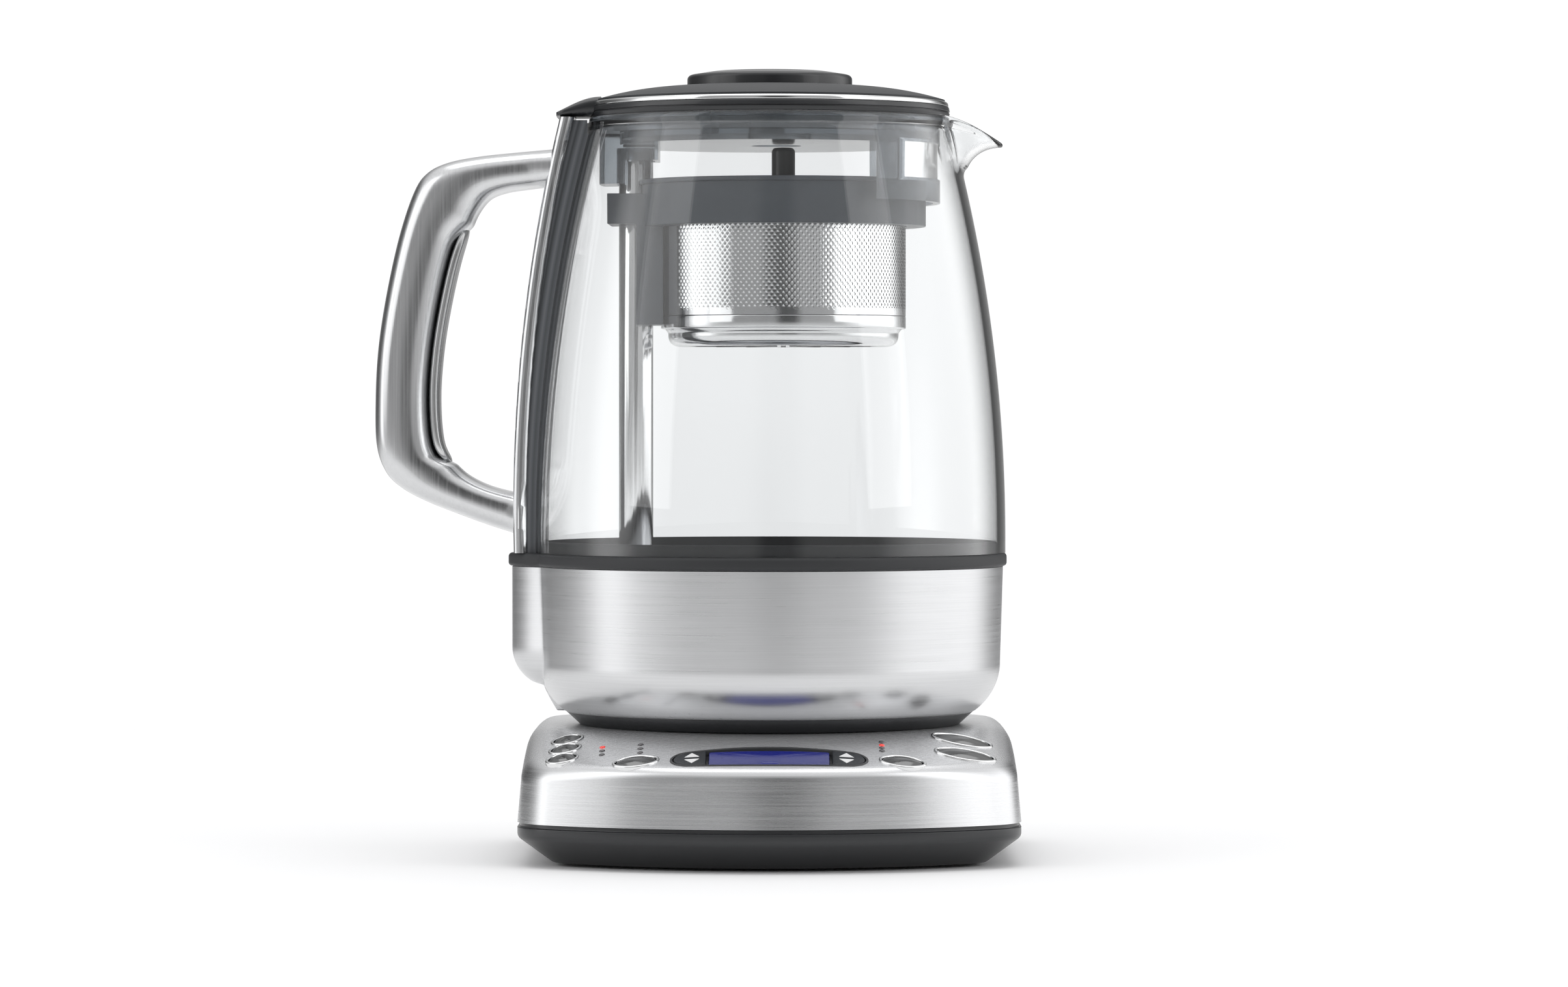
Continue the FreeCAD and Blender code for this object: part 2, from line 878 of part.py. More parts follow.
def button_pieces():
    """All buttons with their surrounds and switches, and what the shell loses to them."""
    surrounds = []
    switches = []
    wells = []
    ring = d.cap_gap + d.surround_width
    board_top = d.control_board_bottom + d.board_thick
    half = d.switch_size / 2
    for name, (shape, x, y) in BUTTONS.items():
        button(name, shape, x, y)
        outside = leaning_block("surround_out", shape, ring, -d.surround_depth,
                                d.surround_rise, x, y)
        inside = leaning_block("surround_in", shape, d.cap_gap, -d.surround_depth - 1,
                               d.surround_rise + 1, x, y)
        surrounds.append(cut("surround", outside, inside))
        wells.append(leaning_block("well", shape, ring, -8, 4, x, y))
        switches.append(
            box("switch", x - half, x + half, y - half, y + half, board_top, switch_top())
        )
    for side in (-1, 1):
        for away in (-1, 1):
            x = side * ROCKER_X
            y = d.display_y + away * d.rocker_stem_place
            switches.append(
                box("switch", x - 2, x + 2, y - 2, y + 2, board_top, switch_top())
            )
    part("button_surrounds", group("button_surrounds", *surrounds))
    part("button_switches", group("button_switches", *switches))
    return wells


ROCKER_X = (d.window_half + d.display_half_long) / 2


def display_oval(name, inset, low, rise):
    """An oval prism in the panel under the display, its top along the raised panel."""
    body = new_body(name, y=d.panel_axis_y)
    sketch = sketch_on(body, "XY_Plane", low)
    draw_oval(
        sketch, d.display_half_long - inset, d.display_half_deep - inset, d.display_end - inset,
        y=d.display_y - d.panel_axis_y,
    )
    pad(body, sketch, d.deck_top - low)
    trim_to_panel(body, rise)
    return body


def slice_between(name, item, low_x, high_x):
    """The part of an object between two planes of constant x."""
    slab = box(f"{name}_slab", low_x, high_x, d.display_y - 15, d.display_y + 15, 20, 50)
    return common(name, item, slab)


def display_pieces():
    """Bezel, window, display and the two rocker keys in the ends of the oval."""
    rocker_start = d.window_half + d.divider
    far = d.display_half_long + 5
    outside = display_oval("bezel_out", 0, d.rocker_bottom - 1, d.display_rise)
    inside = display_oval("bezel_in", d.display_rim, d.rocker_bottom - 2, d.display_rise + 1)
    holes = [
        slice_between("window_hole", inside, -d.window_half, d.window_half),
        slice_between("left_hole", inside, -far, -rocker_start),
        slice_between("right_hole", inside, rocker_start, far),
    ]
    part("display_bezel", cut("display_bezel", outside, *holes))
    pane = display_oval("pane", d.display_rim + 0.1, d.rocker_bottom + 1.5, 0)
    window = slice_between("window", pane, 0.1 - d.window_half, d.window_half - 0.1)
    part("display_window", window)
    half_deep = d.display_half_deep - d.module_inset
    part(
        "display_module",
        box("display_module", 1 - d.window_half, d.window_half - 1,
            d.display_y - half_deep, d.display_y + half_deep,
            d.rocker_bottom - 3, d.rocker_bottom + 1.4),
    )
    gap = d.display_rim + d.cap_gap
    for side, name in ((-1, "temperature_rocker"), (1, "time_rocker")):
        key = display_oval(f"{name}_oval", gap, d.rocker_bottom, d.rocker_rise)
        near = rocker_start + d.cap_gap
        low_x, high_x = (near, far) if side > 0 else (-far, -near)
        top = slice_between(f"{name}_top", key, low_x, high_x)
        stems = [
            cylinder("rocker_stem", d.rocker_stem_radius, switch_top() + d.rocker_stem_gap,
                     d.rocker_bottom + 0.5, side * ROCKER_X,
                     d.display_y + away * d.rocker_stem_place)
            for away in (-1, 1)
        ]
        part(name, fuse(name, top, *stems))
    return display_oval("display_well", 0, d.rocker_bottom - 4, 3)


def light_places():
    """Two columns of three lights for the tea type and one of four for the strength."""
    tea = [
        (d.tea_light_x + d.tea_light_column * column,
         d.tea_light_y - d.tea_light_drop * column - d.tea_light_pitch * row)
        for column in range(2)
        for row in range(3)
    ]
    strength = [
        (d.strength_light_x, d.strength_light_y - d.strength_light_pitch * row)
        for row in range(4)
    ]
    return tea + strength


def indicator_lights():
    lights = []
    holes = []
    for x, y in light_places():
        for items, grow, rise in ((lights, 0, d.light_rise), (holes, 0.05, 3)):
            item = doc.addObject("Part::Cylinder", "light")
            item.setExpression("Radius", formula(d.light_radius + grow))
            item.setExpression("Height", formula(d.light_depth + rise))
            lean_onto_panel(item, x, y)
            below = FreeCAD.Vector(0, 0, -d.light_depth.value)
            down = item.Placement.Rotation.multVec(below)
            items.append(moved(item, x + down.x, y + down.y, panel_height(x, y) + down.z))
    part("indicator_lights", group("indicator_lights", *lights))
    return holes


def top_shell(openings):
    """The steel cover of the base: one wall thick, with the panel's holes in it."""
    outside = panel_block("shell_outside", 0, d.shell_bottom, 0)
    inside = panel_block("shell_inside", d.shell_wall, d.shell_bottom - 1, -d.shell_wall)
    hole = cylinder("connector_hole", d.connector_radius + 0.2, d.deck_top - 5, d.deck_top + 5)
    part("base_top_shell", cut("base_top_shell", outside, inside, hole, *openings))


# ---------------------------------------------------------------- jug


def with_nose(name, middle, radius, bottom, bend, top):
    """Joins a round jug piece to the nose that carries the handle's spine."""
    profile = [(0, bottom), (radius - bend, bottom), (radius, bottom + bend, bend),
               (radius, top), (0, top)]
    nose = turned(f"{name}_nose", profile, x=-d.nose_place)
    return fuse(name, middle, nose)


def steel_profile(wall, low, high):
    """Profile of the steel base, moved in by its wall: a bend, then an almost upright side."""
    top = d.steel_top_radius - wall
    return [
        (0, low),
        (d.steel_low_radius - wall, low),
        (d.steel_low_radius - wall, d.foot_rim_top + 0.01 + wall * 0.4),
        (d.steel_bend_radius - wall, d.steel_bend_top, d.steel_bend - wall),
        (top, high),
        (0, high),
    ]


def jug_base_pieces():
    rim = d.foot_rim_top
    outside = with_nose(
        "steel_outside",
        turned("steel_out_round", [
            (0, rim), (d.steel_low_radius, rim),
            (d.steel_bend_radius, d.steel_bend_top, d.steel_bend),
            (d.steel_top_radius, d.steel_top), (0, d.steel_top),
        ]),
        d.nose_radius, d.nose_bottom, d.nose_bend, d.steel_top,
    )
    inside = with_nose(
        "steel_inside",
        turned("steel_in_round", steel_profile(d.steel_wall, rim - 1, d.steel_top + 1)),
        d.nose_radius - d.steel_wall, d.nose_bottom + d.steel_wall, d.nose_bend - d.steel_wall,
        d.steel_top + 1,
    )
    part("jug_base_shell", cut("jug_base_shell", outside, inside))
    socket_inner = d.connector_radius + d.socket_gap
    socket_outer = socket_inner + d.socket_wall
    socket_top = d.foot_plate_top + 4.8
    part(
        "jug_foot",
        turned("jug_foot", [
            (socket_inner, d.deck_top + d.foot_recess),
            (d.foot_radius - 5.5, d.deck_top + d.foot_recess),
            (d.foot_radius - 5.5, d.deck_top),
            (d.foot_radius, d.deck_top),
            (d.foot_rim_radius, rim),
            (d.foot_rim_radius - 1.4, rim),
            (d.foot_rim_radius - 1.4, d.foot_plate_top),
            (socket_outer, d.foot_plate_top),
            (socket_outer, socket_top),
            (socket_inner, socket_top),
        ]),
    )
    ceiling = d.connector_boss_top + 1.2
    plug_inner = d.connector_boss_radius + 0.6
    plug_low = d.connector_top + 1.3
    part(
        "jug_connector",
        turned("jug_connector", [
            (plug_inner, plug_low),
            (socket_inner - 0.1, plug_low),
            (socket_inner - 0.1, socket_top),
            (socket_outer + 0.8, socket_top),
            (socket_outer + 0.8, ceiling + 1.8),
            (0, ceiling + 1.8),
            (0, ceiling),
            (plug_inner, ceiling),
        ]),
    )


def heating_pieces():
    top = d.steel_top
    low = top - d.plate_thick
    radius = d.steel_top_radius - d.steel_wall - d.plate_gap
    disc = cylinder("plate_disc", radius, low, top)
    drive = cylinder("drive_hole", d.screw_radius + 1, low, top, x=d.post_x)
    probe = cylinder("sensor_hole", d.sensor_radius, low, top, x=d.sensor_place, y=d.sensor_place)
    part("heater_plate", cut("heater_plate", disc, drive, probe))
    element = doc.addObject("Part::Torus", "heating_element")
    element.setExpression("Radius1", formula(d.element_circle))
    element.setExpression("Radius2", formula(d.element_radius))
    element.Angle3 = 320.0
    element.Placement.Rotation = FreeCAD.Rotation(FreeCAD.Vector(0, 0, 1), 200)
    part("heating_element", moved(element, 0, 0, low - d.element_radius - 0.05))
    part(
        "temperature_sensor",
        turned("temperature_sensor", [
            (0, low - 8), (5, low - 8), (5, low), (d.sensor_radius, low),
            (d.sensor_radius, top + 1), (d.sensor_radius - 1, top + 2), (0, top + 2),
        ], x=d.sensor_place, y=d.sensor_place),
    )
    part("jug_board", box("jug_board", 34, 52, -18, 18, d.jug_board_bottom,
                          d.jug_board_bottom + d.board_thick))


def seal_ring():
    top = d.steel_top + d.seal_height
    nose = d.nose_radius + d.seal_radius - d.steel_top_radius
    disc = cylinder("seal_disc", d.seal_radius, d.steel_top, top)
    lobe = cylinder("seal_nose", nose, d.steel_top, top, x=-d.nose_place)
    inner_lip = turned("seal_lip", ring_profile(d.seal_bore, d.glass_radius - d.glass_wall - 0.1,
                                                top, top + d.seal_lip_height))
    bore = cylinder("seal_opening", d.seal_bore, d.steel_top - 1, top + 1)
    flat = cut("seal_flat", fuse("seal_whole", disc, lobe), bore)
    part("glass_seal_ring", fuse("glass_seal_ring", flat, inner_lip))


def glass_radius_at(height, wall):
    """Outside radius of the glass at a height, less a wall."""
    rise = height - d.glass_straight_top
    curve = d.glass_curve - wall
    return d.glass_radius - d.glass_curve + root(square(curve) - square(rise))


def glass_solid(name, wall, low, high):
    """The round body of the glass as a solid: straight at the foot, then one long curve in."""
    radius = d.glass_radius - wall
    return turned(name, [
        (0, low), (radius, low), (radius, d.glass_straight_top),
        (glass_radius_at(high, wall), high, d.glass_curve - wall), (0, high),
    ])


def spout_solid(name, wall, root_x, tip_x, lift):
    """A tapering trough between two sections across x."""
    body = new_body(name)
    sections = []
    for x, half, low, high in (
        (root_x, d.spout_root_half, d.spout_root_low, d.spout_root_high),
        (tip_x, d.spout_tip_half, d.spout_tip_low, d.spout_tip_high),
    ):
        sketch = sketch_on(body, "YZ_Plane", x)
        side = half - wall
        shoulder = high - (high - low) * 0.4
        draw_outline(sketch, [
            (side * -0.35, low + wall), (side * 0.35, low + wall), (side, shoulder + wall * 0.4),
            (side, high + lift), (-side, high + lift), (-side, shoulder + wall * 0.4),
        ])
        sections.append(sketch)
    loft = body.newObject("PartDesign::AdditiveLoft", "Trough")
    loft.Profile = sections[0]
    loft.Sections = [sections[1]]
    loft.Ruled = True
    return body


def glass_jug():
    foot = d.steel_top + d.seal_height
    round_body = glass_solid("glass_out", 0, foot, d.glass_top)
    bead = doc.addObject("Part::Torus", "glass_bead")
    bead.setExpression("Radius1", formula(d.bead_circle))
    bead.setExpression("Radius2", formula(d.glass_bead))
    moved(bead, 0, 0, d.glass_top - d.glass_bead)
    trough = spout_solid("spout_out", 0, d.spout_root, d.spout_tip, 0)
    channel = spout_solid("spout_in", d.spout_wall, d.spout_root - 4, d.spout_tip + 2, 4)
    cavity = glass_solid("glass_in", d.glass_wall, foot - 1, d.glass_top + 1)
    lid_room = cylinder("lid_room", d.lid_radius + 0.5, d.glass_top, d.glass_top + 10)
    whole = fuse("glass_whole", round_body, bead, trough)
    part("glass_jug", cut("glass_jug", whole, cavity, channel, lid_room))


# ---------------------------------------------------------------- lift drive


def slot_prism(name, half_x, half_y, low, high):
    """An upright prism with the post's section, about the post's axis."""
    body = new_body(name, x=d.post_x)
    sketch = sketch_on(body, "XY_Plane", low)
    draw_slot(sketch, half_x, half_y)
    pad(body, sketch, high - low)
    return body


def lift_drive():
    plate_low = d.steel_top - d.plate_thick
    outside = slot_prism("post_out", d.post_half_x, d.post_half_y, d.steel_top, d.post_top)
    inside = slot_prism("post_in", d.post_half_x - d.post_wall, d.post_half_y - d.post_wall,
                        d.steel_top - 1, d.post_top - d.post_wall)
    part("guide_post", cut("guide_post", outside, inside))
    part("lift_motor", cylinder("lift_motor", d.motor_radius, d.motor_bottom, d.motor_top,
                                x=d.post_x))
    tube_outer = d.motor_radius + d.bracket_wall
    part("motor_bracket", turned("motor_bracket", [
        (d.motor_radius, d.motor_top - 6), (tube_outer, d.motor_top - 6), (tube_outer, plate_low),
        (d.motor_radius, plate_low),
    ], x=d.post_x))
    part("lift_screw", turned("lift_screw", [
        (0, d.motor_top + 0.3), (d.screw_radius + 3, d.motor_top + 0.3),
        (d.screw_radius + 3, d.motor_top + 8), (d.screw_radius, d.motor_top + 8),
        (d.screw_radius, d.screw_top), (0, d.screw_top),
    ], x=d.post_x))
    gap = d.post_wall + d.shuttle_gap
    top = d.shuttle_bottom + d.shuttle_height
    block = slot_prism("shuttle_block", d.post_half_x - gap, d.post_half_y - gap,
                       d.shuttle_bottom, top)
    bore = cylinder("shuttle_bore", d.screw_radius + d.screw_gap, d.shuttle_bottom - 1, top + 1,
                    x=d.post_x)
    part("magnet_shuttle", cut("magnet_shuttle", block, bore))


# ---------------------------------------------------------------- handle


def spine_x(height, depth):
    """Where the spine's face is at a height, a depth behind its outer face."""
    curve = d.spine_curve - depth
    rise = height - d.spine_middle
    return d.spine_curve - d.spine_reach - root(square(curve) - square(rise))


def curved_strip(name, front, back, low, high, width):
    """A curved strip along the jug between two depths behind the spine's outer face."""
    return side_profile(name, [
        (spine_x(low, back), low, d.spine_curve - back),
        (spine_x(low, front), low),
        (spine_x(high, front), high, front - d.spine_curve),
        (spine_x(high, back), high),
    ], width)


def round_long_edges(body, radius, length):
    """Rounds every edge of a body that is longer than a length and runs round its side."""
    doc.recompute()
    shape = body.Tip.Shape
    names = []
    for index, edge in enumerate(shape.Edges, start=1):
        same_side = abs(edge.Vertexes[0].Y - edge.Vertexes[-1].Y) < 0.01
        if edge.Length > length and same_side:
            names.append(f"Edge{index}")
    before = body.Tip
    feature = body.newObject("PartDesign::Fillet", "Round")
    feature.Base = (before, names)
    feature.setExpression("Radius", formula(radius))
    return body


def handle_pieces():
    ring_top = d.steel_top + d.seal_height
    spine = curved_strip("spine_block", 0, d.spine_thick, ring_top, d.spine_top, d.spine_width)
    round_long_edges(spine, d.spine_edge, 60)
    low_inner = (d.grip_x + d.grip_thick, d.grip_low_z + 2)
    high_inner = (d.grip_top_x + d.grip_thick - 1.5, d.grip_top_z - 13)
    inner_curve = d.grip_curve - d.grip_thick
    arm_low = d.arm_low_z + d.handle_arm + 1.4
    block = side_profile("handle_block", [
        (-72, d.handle_top),
        (d.handle_shoulder_x, d.handle_shoulder_z),
        (d.grip_top_x, d.grip_top_z, 13),
        (d.grip_x, d.grip_low_z, d.grip_curve),
        (d.heel_x, d.heel_z, 20),
        (-81, d.arm_low_z),
        (-81, arm_low),
        (-90, arm_low + 2.4),
        (low_inner[0], low_inner[1], -24),
        (high_inner[0], high_inner[1], -inner_curve),
        (-84, d.handle_top - d.handle_arm - 0.6, -14),
        (-72, d.handle_top - d.handle_arm),
    ], d.handle_width)
    t = d.insert_thick
    insert = side_profile("insert_strip", [
        (low_inner[0] - t, low_inner[1]),
        (low_inner[0] + 1, low_inner[1]),
        (high_inner[0] + 1, high_inner[1], -inner_curve),
        (high_inner[0] - t, high_inner[1]),
    ], d.insert_width)
    screws = []
    for z, start in ((d.handle_top - 6.5, 66), (d.arm_low_z + 9, 78)):
        screws.append(rod_along_x("handle_screw", d.handle_screw_radius,
                                  -start - d.handle_screw_length, -start, 0, z))
    fasteners = group("handle_screws", *screws)
    glass = glass_solid("glass_outline", 0, ring_top - 1, d.glass_top)
    gasket_block = curved_strip("gasket_block", d.spine_thick, d.spine_thick + d.gasket_depth,
                                ring_top, d.spine_top - 1, d.gasket_width)
    bead_room = cylinder("bead_room", d.bead_circle + d.glass_bead, d.glass_top - 5,
                         d.glass_top + 5)
    part("handle_screws", fasteners)
    part("handle_spine", cut("handle_spine", spine, fasteners))
    part("spine_gasket", cut("spine_gasket", gasket_block, glass, bead_room, fasteners))
    part("handle_insert", common("handle_insert", insert, block))
    part("handle_shell", cut("handle_shell", block, spine, insert, fasteners))


# ---------------------------------------------------------------- basket


def basket_bracket():
    """The collar and the leg that hold the basket to the post."""
    top = d.bracket_top
    right = d.basket_x - d.basket_radius + 1
    half = d.bracket_half
    collar = box("collar", d.bracket_left, right, -half, half, d.ring_bottom + 0.6, top)
    leg = box("leg", d.bracket_leg_x, right, -half, half, d.bracket_bottom, d.ring_bottom + 1)
    return fuse("bracket", collar, leg)


def magnets():
    """The two magnets in the leg, one on each side of the post."""
    near = d.post_half_y + d.post_slot_gap + 0.6
    far = near + d.magnet_thick
    top = d.shuttle_bottom + d.shuttle_height
    left = d.bracket_leg_x + 1.2
    return [
        box("magnet", left, left + 4, first, second, d.shuttle_bottom, top)
        for first, second in ((near, far), (-far, -near))
    ]


def basket_pieces():
    tube_outer = d.basket_radius
    seat_radius = d.basket_radius + 0.9
    ring = turned("ring_round", [
        (tube_outer + d.basket_gap, d.ring_bottom),
        (d.ring_radius, d.ring_bottom),
        (d.ring_radius, d.ring_top - 1.5),
        (d.ring_lip, d.ring_top - 1.5),
        (d.ring_lip, d.ring_top),
        (seat_radius, d.ring_top),
        (seat_radius, d.ring_seat),
        (tube_outer + d.basket_gap, d.ring_seat),
    ], x=d.basket_x)
    slot = slot_prism("post_slot", d.post_half_x + d.post_slot_gap,
                      d.post_half_y + d.post_slot_gap, d.bracket_bottom - 1, d.ring_top + 1)
    bore = cylinder("tube_room", tube_outer + d.basket_gap, d.bracket_bottom - 1,
                    d.ring_seat, x=d.basket_x)
    seat = cylinder("seat_room", seat_radius, d.ring_seat, d.ring_top + 1, x=d.basket_x)
    inside = magnets()
    part("basket_magnets", group("basket_magnets", *inside))
    whole = fuse("ring_whole", ring, basket_bracket())
    part("basket_ring", cut("basket_ring", whole, slot, bore, seat, *magnets()))
    part("basket_mesh", turned("basket_mesh", ring_profile(
        tube_outer - d.basket_wall, tube_outer, d.band_top, d.ring_seat - 0.5), x=d.basket_x))
    cap_inner = d.base_cap_radius - d.base_cap_wall
    part("basket_band", turned("basket_band", ring_profile(
        d.base_cap_radius + d.basket_gap, tube_outer, d.band_bottom, d.band_top), x=d.basket_x))
    cap = turned("basket_base", [
        (0, d.base_cap_bottom),
        (d.base_cap_radius - 3, d.base_cap_bottom),
        (d.base_cap_radius, d.base_cap_bottom + 3, 3),
        (d.base_cap_radius, d.band_top - 1),
        (cap_inner, d.band_top - 1),
        (cap_inner, d.base_cap_bottom + 3),
        (cap_inner - 1.6, d.base_cap_bottom + 1.4),
        (0, d.base_cap_bottom + 1.4),
    ], x=d.basket_x)
    doc.recompute()
    slits = sketch_on(cap, "XY_Plane", d.base_cap_bottom - 1)
    half = d.base_slot_width / 2
    draw_box(slits, 9, d.base_cap_radius - 6, -half, half)
    slit = pocket(cap, slits, 4, upwards=True)
    pattern = cap.newObject("PartDesign::PolarPattern", "Slits")
    pattern.Originals = [slit]
    pattern.Axis = (origin_feature(cap, "Z_Axis"), [""])
    pattern.Angle = 360.0
    pattern.Occurrences = 16
    cap.Tip = pattern
    part("basket_base", cap)
    lid_top = d.ring_seat + d.basket_lid_thick
    part("basket_lid", turned("basket_lid", [
        (d.rod_radius - 1.5, d.ring_seat), (seat_radius - 0.3, d.ring_seat),
        (seat_radius - 0.3, lid_top), (d.rod_radius - 1.5, lid_top),
    ], x=d.basket_x))
    part("basket_lid_knob", turned("basket_lid_knob", [
        (0, d.ring_seat), (d.rod_radius - 1.5, d.ring_seat), (d.rod_radius - 1.5, lid_top),
        (d.rod_radius, lid_top), (d.rod_radius, d.rod_top - 1.5),
        (d.rod_radius - 1.5, d.rod_top, 1.5), (0, d.rod_top),
    ], x=d.basket_x))


# ---------------------------------------------------------------- lid


def lid_tub():
    """The inside of the lid: tub, collar, skirt behind the spout and keeper round the post."""
    wall = d.tub_wall
    top = d.lid_rim_top
    recess = d.tub_recess
    tub = turned("tub_round", [
        (recess, d.tub_bottom), (d.lid_inner, d.tub_bottom), (d.lid_inner, top),
        (d.lid_inner - wall, top), (d.lid_inner - wall, d.tub_bottom + wall),
        (recess + wall, d.tub_bottom + wall), (recess + wall, top), (recess, top),
    ])
    collar = turned("collar_ring", ring_profile(d.lid_inner - 1, d.collar_radius,
                                                d.collar_bottom, d.glass_top))
    skirt_ring = turned("skirt_ring", ring_profile(d.collar_radius - d.skirt_wall,
                                                   d.collar_radius, d.skirt_bottom,
                                                   d.collar_bottom + 1))
    front = box("skirt_front", d.skirt_start, d.collar_radius + 5, -60, 60,
                d.skirt_bottom - 1, d.collar_bottom + 2)
    skirt = common("skirt", skirt_ring, front)
    window = box("filter_window", d.skirt_start, d.collar_radius + 5, -d.filter_half,
                 d.filter_half, d.filter_low + 1, d.filter_high - 1)
    upper = box("keeper_upper", d.keeper_left, d.keeper_right, -d.keeper_half, d.keeper_half,
                d.keeper_step_z, d.collar_bottom + 1)
    lower = box("keeper_lower", d.keeper_left, d.keeper_step, -d.keeper_half, d.keeper_half,
                d.keeper_bottom, d.keeper_step_z + 1)
    round_limit = cylinder("keeper_limit", d.collar_radius, d.keeper_bottom - 1, d.collar_bottom + 2)
    keeper = common("keeper", fuse("keeper_block", upper, lower), round_limit)
    post_room = slot_prism("post_room", d.post_half_x + d.keeper_gap,
                           d.post_half_y + d.keeper_gap, d.keeper_bottom - 1, d.post_top + 1)
    rod_room = cylinder("rod_room", recess - 0.01, d.tub_bottom - 1, top + 1, x=d.basket_x)
    filter_ring = turned("filter_ring", ring_profile(
        d.collar_radius - d.skirt_wall / 2 - d.filter_thick / 2,
        d.collar_radius - d.skirt_wall / 2 + d.filter_thick / 2,
        d.filter_low, d.filter_high))
    filter_front = box("filter_front", d.skirt_start, d.collar_radius + 5, -d.filter_half - 1,
                       d.filter_half + 1, d.filter_low, d.filter_high)
    mesh = common("spout_filter", filter_ring, filter_front)
    part("spout_filter", mesh)
    whole = fuse("tub_whole", tub, collar, skirt, keeper)
    part("lid_tub", cut("lid_tub", whole, post_room, rod_room, window, mesh))


def lid_pieces():
    rim_ring = turned("rim_ring", ring_profile(d.lid_inner, d.lid_radius, d.glass_top,
                                               d.lid_rim_top))
    tail = side_profile("tail", [
        (-d.tail_reach, d.tail_low), (5 - d.lid_radius, d.tail_low),
        (5 - d.lid_radius, d.lid_ring_top + 1.6), (-d.lid_radius, d.lid_ring_top + 1.2),
        (-d.tail_reach, d.tail_low + 1.8),
    ], d.tail_half * 2)
    crown_room = cylinder("crown_room", d.lid_radius, d.lid_rim_top, d.lid_rim_top + 10)
    tail_end = cut("tail_end", tail, crown_room, cylinder(
        "tail_bore", d.lid_inner, d.glass_top - 1, d.lid_rim_top + 10))
    part("lid_rim", fuse("lid_rim", rim_ring, tail_end))
    part("lid_steel_ring", turned("lid_steel_ring", ring_profile(
        d.lid_ring_inner, d.lid_ring_radius, d.lid_rim_top, d.lid_ring_top)))
    part("lid_top", turned("lid_top", [
        (0, d.lid_ring_top), (d.lid_ring_radius, d.lid_ring_top),
        (d.lid_ring_radius, d.lid_ring_top + 0.6),
        (d.knob_radius, d.lid_crown, d.lid_crown_curve), (0, d.lid_crown),
    ]))
    edge = d.knob_edge
    part("lid_knob", turned("lid_knob", [
        (0, d.lid_crown), (d.knob_radius, d.lid_crown), (d.knob_radius, d.knob_top - edge),
        (d.knob_radius - edge, d.knob_top, edge), (0, d.knob_top),
    ]))
    screws = []
    for turn_by in (0, 120, 240):
        x = d.lid_screw_circle * math.cos(math.radians(turn_by))
        y = d.lid_screw_circle * math.sin(math.radians(turn_by))
        screws.append(cylinder("lid_screw", d.lid_screw_radius, d.tub_bottom + d.tub_wall,
                               d.lid_ring_top, x, y))
    part("lid_screws", group("lid_screws", *screws))


def check_and_write():
    """Refuses a failed object or an empty shape, then writes every sub-part."""
    doc.recompute()
    for item in doc.Objects:
        if "Invalid" in item.State or "Error" in item.State:
            raise RuntimeError(f"{item.Label} failed: {item.State}")
    for name, item in parts.items():
        if item.Shape.isNull() or not item.Shape.isValid() or not item.Shape.Solids:
            raise RuntimeError(f"{name} has no valid solid")
    os.makedirs("parts", exist_ok=True)
    for name, item in parts.items():
        item.Shape.exportStep(f"parts/{name}.step")
        box_of = item.Shape.BoundBox
        print(f"{name}: {len(item.Shape.Solids)} solids, {item.Shape.Volume:.0f} mm3, "
              f"x {box_of.XMin:.1f} {box_of.XMax:.1f}, y {box_of.YMin:.1f} {box_of.YMax:.1f}, "
              f"z {box_of.ZMin:.1f} {box_of.ZMax:.1f}")


lower_housing()
base_small_pieces()
inner_frame()
power_connector()
board_with_parts()
control_board()
button_wells = button_pieces()
display_well = display_pieces()
light_holes = indicator_lights()
top_shell([*button_wells, display_well, *light_holes])
jug_base_pieces()
heating_pieces()
seal_ring()
glass_jug()
lift_drive()
handle_pieces()
basket_pieces()
lid_tub()
lid_pieces()
check_and_write()
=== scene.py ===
"""An electric all-in-one tea brewer on its power base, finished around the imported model.

Shapes are worked out in millimetres and turned into metres where a mesh is made.
"""

import math

import bmesh
import bpy
import numpy as np
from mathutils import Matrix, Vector


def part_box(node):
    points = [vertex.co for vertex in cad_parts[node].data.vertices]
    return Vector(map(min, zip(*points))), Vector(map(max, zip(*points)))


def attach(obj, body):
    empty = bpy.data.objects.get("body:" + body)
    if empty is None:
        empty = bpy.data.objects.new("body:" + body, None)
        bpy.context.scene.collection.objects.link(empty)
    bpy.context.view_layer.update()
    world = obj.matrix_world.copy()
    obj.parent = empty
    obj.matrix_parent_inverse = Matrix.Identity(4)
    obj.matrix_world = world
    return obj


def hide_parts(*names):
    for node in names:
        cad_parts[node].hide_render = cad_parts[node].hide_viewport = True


bl_info = {
    "name": "Tea brewer",
    "version": (1, 0, 0),
    "blender": (4, 5, 0),
    "location": "View3D > Sidebar > Brewer",
    "description": "Builds the visible pieces and finishes of an electric tea brewer",
    "category": "Add Mesh",
}

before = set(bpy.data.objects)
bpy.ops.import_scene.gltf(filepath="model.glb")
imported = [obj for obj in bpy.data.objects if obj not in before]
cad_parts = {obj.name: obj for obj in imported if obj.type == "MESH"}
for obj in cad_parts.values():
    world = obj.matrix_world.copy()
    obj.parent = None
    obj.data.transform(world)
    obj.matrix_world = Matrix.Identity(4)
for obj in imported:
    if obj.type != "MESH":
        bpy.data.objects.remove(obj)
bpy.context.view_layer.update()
MM = 0.001
FULL_TURN = 2 * math.pi
CURVE_FOOT = 104.0  # height where the glass starts to curve in
CAP_RISE = 1.3  # height of a button's node over the panel
SHARP = 38  # degrees between faces from which an edge stays sharp


class NodeBox:
    """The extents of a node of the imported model, in millimetres."""

    def __init__(self, name):
        low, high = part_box(name)
        self.left, self.front, self.bottom = (value / MM for value in low)
        self.right, self.back, self.top = (value / MM for value in high)
        self.x = (self.left + self.right) / 2
        self.y = (self.front + self.back) / 2
        self.radius = (self.back - self.front) / 2


